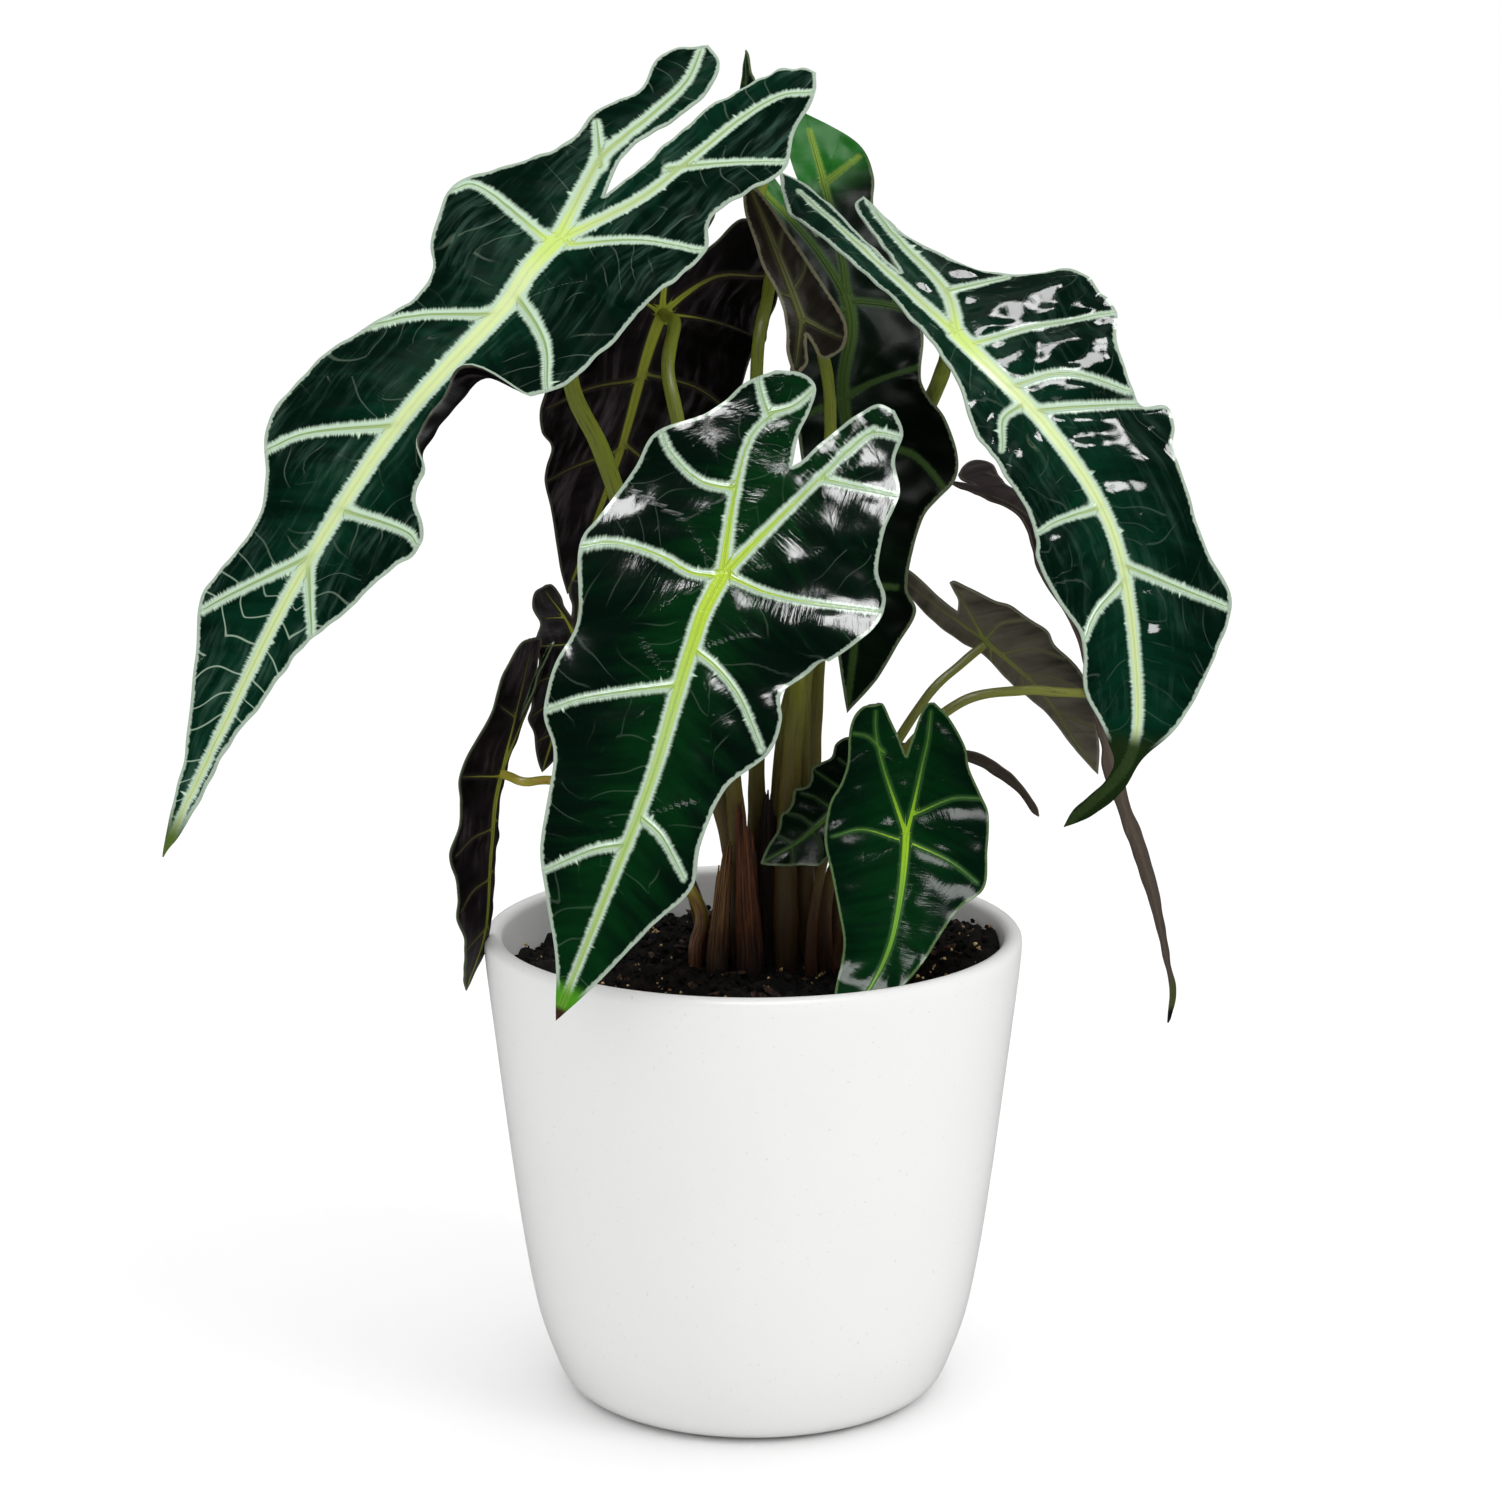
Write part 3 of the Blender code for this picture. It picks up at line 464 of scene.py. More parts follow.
# Each leaf's midrib and stalk are points in space, and its foot is where the stalk leaves the soil.
# Radii are the stalk's, from the foot up, and drops its own distances below the blade.
# The margins, left and right, and the sinuses between lobes and midrib are flat points from the lobe's
# end; a plain leaf has the half widths at which it takes the shared outline, and how long its lobes are.
LEAVES = {
    "big_left": dict(
        midrib=[
            (1, 22, 369), (-52, -15, 323), (-66, -26, 306), (-92, -44, 278), (-117, -60, 240),
            (-138, -70, 199), (-152, -74, 170)
        ],
        faces=[(-0.25, -0.75, 0.62), (-0.45, -0.85, 0.25)], wave=(0.8, 38),
        roll=dict(centre=60, half=17, ramp=8, start=12, run=5, turn=150),
        left=[
            (-14, -75), (-20, -68), (-21, -61), (-18, -52), (-20, -46), (-22, -38), (-20, -29), (-22, -20),
            (-31, -6), (-34, 4), (-30, 12),
            (-24, 25), (-22, 36), (-26, 52), (-30, 60), (-32, 72), (-30, 85), (-23, 96), (-19, 106),
            (-20, 119), (-22, 131), (-16, 145), (-7, 168), (-4, 182)
        ],
        right=[
            (18, -84), (25, -76), (29, -63), (36, -53), (36, -42), (32, -28), (39, -18), (40, 0),
            (36, 24), (35, 36), (29, 43), (23, 49), (20.5, 55), (20, 62), (19, 68), (17, 75), (19, 83),
            (27, 90), (28, 95), (24, 104), (20, 116), (12, 130), (8, 146), (4, 162), (3, 180)
        ],
        sinuses=[
            [(-8, -73), (-4, -66), (-3, -57), (-3.5, -50), (-5.5, -42), (-6, -34), (-4, -27), (0, -19)],
            [(12, -83), (7, -78), (4, -70), (1.5, -62), (0.8, -52), (0.8, -42), (0.8, -30), (0, -19)],
        ],
        stalk=[(-5, 3, 151), (-15, 1, 188), (-31, -2, 236), (-41, -4, 266), (-49, -6, 285)],
        foot=(-6, 6), radii=(3.4, 2.9, 2.7, 2.6, 2.2),
    ),
    "front": dict(
        midrib=[
            (22, -46, 286), (-8, -62, 241), (-16, -68, 223), (-26, -76, 191), (-37, -80, 163),
            (-51, -80, 128)
        ],
        faces=[(0.05, -0.85, 0.5), (-0.1, -0.95, 0.2)], wave=(1, 32),
        left=[
            (-17, -53), (-22, -46), (-24, -39), (-27, -32), (-34, -22), (-34, -12), (-35, 2), (-36, 8),
            (-32, 15), (-30, 24), (-32, 33), (-32, 41), (-31, 48), (-26, 57), (-23, 70), (-20, 83),
            (-14, 94), (-6, 108)
        ],
        right=[
            (15, -60), (20, -56), (22, -49), (28, -42), (30, -32), (34, -22), (40, -16), (41, -6),
            (33, 14), (26, 24), (28, 32), (27, 41), (19, 52), (18, 66), (20, 77), (14, 90), (7, 108),
            (3, 117)
        ],
        sinuses=[
            [(-11, -56), (-6, -55), (-4, -49), (-3, -42), (0, -34)],
            [(10, -59), (6, -52), (3, -43), (1.5, -37), (0, -34)],
        ],
        stalk=[(9, -5, 153), (11, -6, 185), (12, -14, 205), (7, -32, 222), (-4, -50, 237)],
        foot=(9, -5), radii=(3.6, 3.0, 2.7, 2.5, 2.2),
    ),
    "big_right": dict(
        midrib=[
            (20, 20, 334), (54, -25, 299), (77, -38, 276), (93, -47, 251), (99, -54, 220),
            (98, -58, 193), (82, -48, 172)
        ],
        faces=[(0.3, -0.7, 0.6), (0.35, -0.9, 0.3)], wave=(0.8, 30),
        left=[
            (-8, -78), (-13, -69), (-17, -58), (-14, -47), (-11, -34), (-9, -17), (-9, -1), (-12, 12),
            (-20, 24), (-22, 40), (-22, 54), (-26, 69), (-22, 82), (-16, 94), (-16, 108), (-12, 116),
            (-7, 124), (-3, 130), (-1.6, 137), (-1.6, 148)
        ],
        right=[
            (8, -60), (9, -50), (10, -41), (16, -25), (26, -14), (40, -4), (42, 14), (40, 23), (32, 29),
            (28, 37), (27, 43), (33, 46), (31, 51), (26, 56), (24, 68), (25, 78), (28, 88), (24, 99),
            (17, 110), (10, 119), (5, 124), (3, 129), (3.6, 136), (3.4, 144), (2, 151)
        ],
        sinuses=[
            [(-5, -73), (-3, -65), (-2, -52), (-1.5, -40), (0, -28)],
            [(4, -58), (2.5, -50), (1.5, -39), (0, -28)],
        ],
        stalk=[(8, 7, 150), (13, 15, 199), (35, 30, 247), (50, 29, 277), (53, 6, 291)],
        foot=(9, 8), radii=(4.0, 3.6, 2.8, 2.4, 2.2),
    ),
    "young": dict(
        midrib=[
            (41, -20, 199), (41, -34, 166), (37.5, -46, 143), (31.5, -53, 130), (25.5, -60, 125.5),
            (20.5, -65.5, 124.5)
        ],
        faces=[(0.0, -0.9, 0.4), (0.0, -0.6, 0.8)], wave=(0.5, 24),
        left=[
            (-8, -36), (-12, -35), (-15, -30), (-16, -20), (-18, -14), (-21, -8), (-22, 3), (-19, 14),
            (-15, 26), (-12, 34), (-10, 41), (-8, 48), (-4, 55)
        ],
        right=[
            (8, -36.5), (12, -32), (16, -24), (17, -18), (20, -11), (22, -6), (22, 3), (22, 12), (16, 18),
            (12, 26), (10, 32), (8, 38), (6, 46), (3, 54)
        ],
        sinuses=[
            [(-6, -36.2), (-4, -32), (-2, -27.5), (0, -22)],
            [(6, -36.2), (4, -33), (2, -27.5), (0, -22)],
        ],
        stalk=[(27, -12, 138), (36, -22, 153), (40, -29, 162)],
        foot=(24, -9), radii=(2.2, 1.8, 1.5),
    ),
    "rear": dict(
        midrib=[(2, 52, 348), (26, 34, 304), (25, 22, 278), (30, 10, 238), (26, 4, 192)],
        faces=[(0.0, -0.8, 0.6), (0.0, -0.9, 0.4)], wave=(1.2, 34),
        left=[
            (-5, -47), (-9, -37), (-9, -20), (-12, 0), (-15, 22), (-14, 38), (-14, 60), (-9, 84),
            (-4, 103)
        ],
        right=[
            (13, -55), (19, -46), (23, -36), (22, -27), (18, -20), (16, -10), (17, 2), (20, 10),
            (21, 18), (23, 31), (27, 40), (29, 50), (27, 57), (18, 64), (14, 73), (13, 82), (16, 88),
            (12, 97), (7, 108)
        ],
        sinuses=[
            [(-3, -44), (-2, -34), (0, -20)],
            [(7, -52), (4, -42), (2, -30), (0, -20)],
        ],
        stalk=[(16, 16, 165), (20, 36, 231), (24, 43, 278)],
        foot=(18, 12), radii=(3.0, 2.4, 2.0),
    ),
    "purple": dict(
        midrib=[(-6, 22, 329), (-25, 18, 301), (-38, 30, 259), (-53, 42, 219)],
        faces=[(-0.4, 0.8, 0.35), (-0.3, 0.85, 0.2)], fold=(6, 6), wave=(1.2, 34),
        left=[
            (-8, -36), (-20, -35), (-30, -31), (-36, -23), (-37, -8), (-36, 7), (-34, 18), (-32, 28),
            (-31, 42), (-24, 60), (-12, 78)
        ],
        right=[
            (8, -34), (18, -32), (24, -24), (22, -12), (22, 0), (25, 12), (26, 30), (24, 40), (20, 45),
            (19, 55), (13, 66), (5, 82)
        ],
        sinuses=[
            [(-4, -33), (-2, -24), (0, -14)],
            [(4, -31), (2, -24), (0, -14)],
        ],
        stalk=[(-5, -4, 169), (-14, -10, 237), (-20, -8, 273), (-23, -2, 288)],
        foot=(-3, -3), radii=(2.8, 2.2, 2.0, 1.9),
    ),
    "hood": dict(
        midrib=[(17, -9, 288), (13, -6, 302), (5, 6, 322), (-2, 17, 338)],
        faces=[(-0.2, -0.8, 0.5), (-0.3, -0.7, 0.7)], fold=(14, 14), wave=(0.6, 20),
        left=[
            (-3, -12.5), (-6, -12), (-9, -10.5), (-11, -7), (-11, -3), (-9, 5), (-7, 15), (-5, 25),
            (-3, 36)
        ],
        right=[
            (4, -14), (6, -14), (6.5, -8), (5, -2), (4, 4), (4, 10), (5, 18), (4.5, 26), (4, 35), (2, 42)
        ],
        sinuses=[
            [(-1.6, -11), (-0.9, -8), (0, -5)],
            [(1.6, -12), (0.9, -8), (0, -5)],
        ],
        stalk=[(14, 0, 196), (19, 1, 240), (21, 1, 272), (19, 0, 291)], drops=(6, 3, 1),
        foot=(15, 1), radii=(2.6, 2.0, 1.9, 1.7),
    ),
    "top": dict(
        midrib=[(-12, 30, 330), (-4, 38, 341), (-2, 50, 356), (-2, 64, 371)],
        faces=[(-0.2, 0.4, 0.9), (-0.6, 0.2, 0.5)], fold=(10, 10), wave=(0.3, 20),
        plain=(8, 8),
        stalk=[(1, 8, 224), (1, 8, 287), (4, 16, 306), (5, 20, 317), (1, 25, 328)],
        foot=(1, 11), radii=(2.6, 2.1, 1.9, 1.7),
    ),
    "grey": dict(
        midrib=[(46, 12, 230), (65, 18, 210), (80.5, 22, 195.5), (91.5, 25, 179.5), (98, 26, 170)],
        faces=[(0.3, 0.8, 0.5), (0.3, 0.8, 0.5)], wave=(0.4, 20),
        left=[
            (-5, -21), (-7, -20), (-11, -10), (-14, -5), (-15, 2), (-16, 9), (-14, 14), (-14, 22),
            (-12, 30), (-9, 38), (-5, 46)
        ],
        right=[
            (3, -33), (7, -32), (9, -26), (9, -12), (7, -3), (4.5, 4), (6, 14), (6, 20), (4, 27),
            (2.5, 34), (1.8, 44)
        ],
        sinuses=[
            [(-4, -18), (-3, -15), (0, -12)],
            [(1.5, -28), (1.2, -20), (0, -12)],
        ],
        stalk=[(25, 5, 148), (34, 7, 172), (48, 10, 195), (58, 14, 204)], drops=(2,),
        foot=(23, 4), radii=(2.0, 1.5, 1.4, 1.3),
    ),
    "edge_right": dict(
        midrib=[
            (54.5, 32, 254), (78, 14, 247), (91, 8, 224), (95, 7, 197), (103, 9, 167), (111, 10, 144),
            (116.5, 8, 120), (118, 7, 111), (117, 6, 102.5)
        ],
        joint=3, faces=[(0.6, -0.6, 0.6), (0.95, -0.3, 0.2)], fold=(10, 10), wave=(0.6, 30),
        left=[
            (-2.5, -83), (-4, -82), (-6, -74), (-9, -64), (-9, -54), (-14, -46), (-17, -40), (-15, -32),
            (-11, -25), (-6, -16), (-3, -6), (-3, 6), (-3, 14), (-6, 21), (-5, 28), (-4, 34), (-5, 46),
            (-5, 57), (-3, 70), (-1.6, 82), (-2, 90)
        ],
        right=[
            (3, -84), (8, -86), (13, -85), (14, -80), (9, -74), (5, -68), (4, -61), (6, -46), (8, -30),
            (8, -10), (8, 6), (6, 18), (3, 30), (4, 46), (4, 72), (3, 82), (4.5, 89), (3, 96)
        ],
        sinuses=[
            [(-1.6, -82), (-0.9, -79), (0, -76)],
            [(1.6, -82), (0.9, -79), (0, -76)],
        ],
        stalk=[(22, -2, 148), (40, -2, 180), (57, -1, 196), (74, 1, 199), (84, 4, 198)], drops=(2,),
        foot=(20, -4), radii=(2.0, 1.6, 1.5, 1.4),
    ),
    "edge_left": dict(
        midrib=[(-56, -6, 213), (-69, -10, 178), (-72, -12, 157), (-74, -12, 134), (-80, -8, 116)],
        faces=[(-0.8, 0.5, 0.3), (-0.8, 0.5, 0.3)], fold=(55, 10), wave=(0.6, 24),
        plain=(10, 17), lobes=1.4,
        stalk=[(-15, 0, 138), (-31, -1, 160), (-52, -5, 174)],
        foot=(-16, -2), radii=(2.0, 1.4, 1.3),
    ),
    "tucked": dict(
        midrib=[(-53, 10, 228), (-49, 4, 212), (-53, 6, 194), (-59, 10, 174)],
        faces=[(-0.4, 0.8, 0.3), (-0.4, 0.8, 0.3)], fold=(10, 10), wave=(0.6, 16),
        plain=(12, 12),
        stalk=[(-18, 6, 144), (-36, 4, 184), (-44, 0, 203)],
        foot=(-14, 6), radii=(2.0, 1.4, 1.3),
    ),
    "low": dict(
        midrib=[(38, -6, 193), (26, -11, 173), (14, -18, 162), (2, -24, 156)],
        faces=[(0.1, -0.9, 0.4), (0.1, -0.9, 0.4)], fold=(10, 10), wave=(0.5, 16),
        plain=(12, 12),
        stalk=[(17, -9, 140), (20, -8, 155)],
        foot=(16, -9), radii=(1.8, 1.4, 1.2),
    ),
    "sliver": dict(
        midrib=[(45, 14, 180), (52, 10, 180), (63, 6, 178), (73, 2, 172), (79, -2, 164)],
        faces=[(-0.2, 0.6, 0.8), (-0.2, 0.6, 0.8)], fold=(20, 20), wave=(0.3, 14),
        plain=(4.5, 4.5),
        stalk=[(29, 10, 143), (41, 14, 166), (49, 13, 174)],
        foot=(26, 9), radii=(1.5, 1.1, 1.0),
    ),
}

BENDS = ("midrib", "faces", "wave", "fold", "roll", "joint")
SHAPES = {key: Blade(**{word: leaf[word] for word in BENDS if word in leaf}) for key, leaf in LEAVES.items()}

# How far below the blade the last points of its stalk lie
JOINT_DROPS = (8, 3.5, 0.3)
FOOT_SWELL = 1.12
JOINT_TAPER = 0.96
TUBE_STEP = 1.6
TUBE_UNEVEN = 0.03
TUBE_SIDES = 5


def add_vectors(piece, name, values):
    """A named attribute that the material reads, one vector for each point."""
    layer = piece.data.attributes.new(name, "FLOAT_VECTOR", "POINT")
    layer.data.foreach_set("vector", np.asarray(values, np.float32).ravel())


def tube(name, path, radii):
    """A round stem through the points; its attribute holds the length along it and the way round."""
    points, length = curve_through(path, fineness=10)
    steps = np.linspace(0, length[-1], int(length[-1] / TUBE_STEP) + 2)
    points = sampled(points, length, steps)
    share = steps / steps[-1]
    thick = np.interp(share, np.linspace(0, 1, len(radii)), radii)
    thick *= 1 + TUBE_UNEVEN * drift(np.stack([steps, 0 * steps], -1), period=14, seed=len(name))
    piece = added(name, bpy.ops.curve.primitive_bezier_curve_add)
    line = piece.data
    line.splines.clear()
    line.dimensions = "3D"
    line.bevel_depth = MM
    line.bevel_resolution = TUBE_SIDES
    line.use_fill_caps = True
    spline = line.splines.new("POLY")
    spline.points.add(len(points) - 1)
    spline.use_smooth = True
    for point, spot, radius in zip(spline.points, points, thick):
        point.co = (*(spot * MM), 1)
        point.radius = radius
    select_only(piece)
    bpy.ops.object.convert(target="MESH")
    piece = bpy.context.object
    piece.name = piece.data.name = name
    spots = mesh_points(piece) / MM
    nearest = np.argmin(((spots[:, None] - points[None]) ** 2).sum(-1), axis=1)
    around = unit(spots - points[nearest])
    add_vectors(piece, "stem", np.stack([steps[nearest], around[:, 0], around[:, 1]], -1))
    return piece


def planted(foot):
    """The lowest run of a stalk, upright in the soil and just above it."""
    x, y = foot
    return [(x, y, SOIL_LEVEL - ROOT_DEPTH + 3), (x, y, SOIL_LEVEL + 3), (x, y, SOIL_LEVEL + 8)]


def stem_place(tree, along, around):
    """The stem's own coordinates, stretched: along it in millimetres, and round it."""
    return stretched(attribute(tree, "stem"), (along, around, around))


def stalk_material(name, foot_shade_and_dot_colour, low_colour, high_colour, streak_colour, run):
    """Fleshy skin, from painted shade at the foot through its own low colour to its colour at the joint over
    a run in millimetres.
    """
    made, tree, shader = new_material(name, high_colour, 0.42, Coat_Weight=0.25, Coat_Roughness=0.25)
    length = read_vector(tree, "stem")[0]
    wander = times(cloud(stem_place(tree, 0.08, 1.2), 1, 3), 26)
    height = plus(length, wander)
    # Near-black painted shade at the foot, then the stalk's own colour low down
    colour = mixed(step(height, 22, 60), foot_shade_and_dot_colour, low_colour)
    colour = mixed(step(height, 40, run), colour, high_colour)
    streaks = step(cloud(stem_place(tree, 0.07, 6), 1, 4, 0.65), 0.5, 0.72)
    colour = mixed(times(streaks, 0.7), colour, streak_colour)
    # Dark dots, in the same near-black as the foot's painted shade
    dots = step(cloud(stem_place(tree, 0.9, 7), 1, 2), 0.64, 0.74)
    colour = mixed(times(dots, 0.4), colour, foot_shade_and_dot_colour)
    gloss = plus(times(streaks, 0.2), 0.36)
    ridges = cloud(stem_place(tree, 0.06, 9), 1, 3, 0.6)
    finish_shader(tree, shader, colour, gloss, ridges, depth=0.0005, strength=0.35)
    return made


# Each stalk's colours: painted shade at the foot, its own low and high colours, its streaks, and the run
OLIVE = stalk_material(
    "olive_stalk",
    (0.02, 0.007, 0.004), (0.095, 0.052, 0.012), (0.19, 0.235, 0.018), (0.07, 0.045, 0.008), 170,
)
RUSTY = stalk_material(
    "rusty_stalk",
    (0.035, 0.012, 0.006), (0.12, 0.052, 0.016), (0.21, 0.23, 0.03), (0.08, 0.04, 0.012), 90,
)
FRESH = stalk_material(
    "fresh_stalk",
    (0.05, 0.02, 0.012), (0.22, 0.14, 0.03), (0.44, 0.40, 0.04), (0.66, 0.22, 0.11), 60,
)
STALK_LOOKS = dict.fromkeys(("young", "grey", "edge_right", "low", "sliver", "tucked"), RUSTY)
STALK_LOOKS["edge_left"] = FRESH

for key, leaf in LEAVES.items():
    joint, _, up = SHAPES[key].frame(np.array([0.0]))
    under = [tuple(joint[0] - up[0] * drop) for drop in leaf.get("drops", JOINT_DROPS)]
    radii = leaf["radii"]
    thickness = [radii[0] * FOOT_SWELL, *radii, radii[-1] * JOINT_TAPER]
    stem = tube("stalk_" + key, planted(leaf["foot"]) + leaf["stalk"] + under, thickness)
    stem.data.materials.append(STALK_LOOKS.get(key, OLIVE))
    dress(stem, "root", "stalk", "petiole_" + key)


# Papery sheaths
# Old leaf bases that have dried round the stalks: thin brown sheets, rolled on themselves.
# Each is a flat sheet rolled past one turn, pinched to a torn point and wrinkled lengthwise.

# Foot, path, radii, which way the seam's far side looks, and the dark and pale colours
SHEATHS = {
    "sheath_red": dict(
        foot=(-1, -9), path=[(-2, -9, 145), (-3, -8, 170)], radii=(3.4, 2.8, 0.9), way=-2.0,
        stuff=("red_husk", (0.022, 0.007, 0.004), (0.20, 0.065, 0.018)),
    ),
    "sheath_tan": dict(
        foot=(-10, -8), path=[(-9, -8, 140), (-7, -6, 158)], radii=(2.7, 2.2, 0.8), way=-1.2,
        stuff=("tan_husk", (0.04, 0.016, 0.007), (0.26, 0.13, 0.04)),
    ),
    "sheath_brown": dict(
        foot=(4, 0), path=[(4, -1, 146), (4, -2, 172)], radii=(3.3, 2.8, 1.2), way=-1.6,
        stuff=("dark_husk", (0.008, 0.005, 0.004), (0.045, 0.025, 0.016)),
    ),
}
SHEATH_TURNS = 1.15
SHEATH_THICKNESS = 0.35
SHEATH_GRID = (72, 46)
TORN_EDGE = 0.03
CORNER_CUT = 0.34
OVERLAP = 0.42
SLACK = 0.45
FLARE = 0.7
FLARE_START = 0.6
WRINKLE = 0.22


def sheet(name, columns, rows):
    """A flat grid, and for each of its points the column and the row, from 0 to 1."""
    grid = dict(x_subdivisions=columns, y_subdivisions=rows, size=1)
    piece = added(name, bpy.ops.mesh.primitive_grid_add, **grid)
    corners = mesh_points(piece) + 0.5
    return piece, corners[:, 0], corners[:, 1]


def rolled_sheath(name, sheath):
    piece, u, t = sheet(name, *SHEATH_GRID)
    turn = (u - 0.5) * 2 * SHEATH_TURNS * pi
    top = 1 - CORNER_CUT * np.abs(turn / pi) ** 1.2
    top += TORN_EDGE * drift(np.stack([turn * 4, 0 * turn], -1), period=2, seed=31)
    share = t * top
    path, length = curve_through(planted(sheath["foot"]) + sheath["path"], fineness=12)
    centre = sampled(path, length, share * length[-1])
    radius = np.interp(share, np.linspace(0, 1, len(sheath["radii"])), sheath["radii"])
    spiral = radius + OVERLAP * turn / pi + SLACK
    spiral += FLARE * np.clip((share - FLARE_START) / (1 - FLARE_START), 0, 1) * np.abs(turn / pi)
    spiral += WRINKLE * drift(np.stack([turn * 3, share * 4], -1), period=2.1, seed=len(name))
    way = turn + sheath["way"]
    spots = centre + np.stack([spiral * np.cos(way), spiral * np.sin(way), 0 * way], -1)
    move_points(piece, spots * MM)
    run = share * length[-1]
    add_vectors(piece, "stem", np.stack([run, np.cos(way), np.sin(way)], -1))
    apply_modifier(piece, "SOLIDIFY", thickness=SHEATH_THICKNESS * MM, offset=0)
    smoothed(piece, 50)
    return piece


def husk_material(name, dark, pale):
    made, tree, shader = new_material(name, pale, 0.7, Specular_IOR_Level=0.3)
    fibres = cloud(stem_place(tree, 0.06, 7), 1, 4, 0.7)
    colour = mixed(step(fibres, 0.36, 0.68), dark, pale)
    length = read_vector(tree, "stem")[0]
    # Darker towards the soil: painted shade at the sheath's foot
    colour = mixed(step(length, 34, 12), colour, tuple(0.35 * share for share in dark))
    finish_shader(tree, shader, colour, None, fibres, depth=0.0005, strength=0.5)
    return made


for key, sheath in SHEATHS.items():
    roll = rolled_sheath(key, sheath)
    roll.name = roll.data.name = key + "_paper"
    roll.data.materials.append(husk_material(*sheath["stuff"]))
    dress(roll, "root", "husk", key)


# Leaves
# Leathery shield-shaped blades, nearly black green, quilted between thick pale veins.
# Each is drawn flat, laid on its bent midrib, pressed in along the veins and given its thickness.
BLADE_THICKNESS = 0.5
POINT_SPACING = 0.95
FINE_SPACING = 0.6
FINE_UP_TO = 0.5
LEAST_COLUMNS = 8
LEAST_ROWS = 24
CHUNK = 3000
VEIN_BLEND = 0.6

# What keeps one leaf's pattern from the next one's, and the two halves apart along the midrib
LEAF_STEP = 400.0
HAIR = 1e-6

# Height in millimetres of the pillows between the veins, the folds outwards, the dents and the frill
QUILT = 2.6
FOLDS = 0.16
DENTS = 0.35
FRILL = 0.45

# How far in from the rim, and out from a vein, that relief takes to reach its height
RIM_EASE = 10.0
VEIN_EASE = 8.0
FINE_EASE = 3.0
FRILL_REACH = 3.5

# Periods in millimetres: folds across and along the leaf, dents and frill, and a seed for each
FOLD_PERIODS = (26, 9)
FOLD_SLOPE = 0.45
DENT_PERIOD = 13
FRILL_PERIOD = 9
FOLD_SEED, DENT_SEED, FRILL_SEED = 41, 47, 43

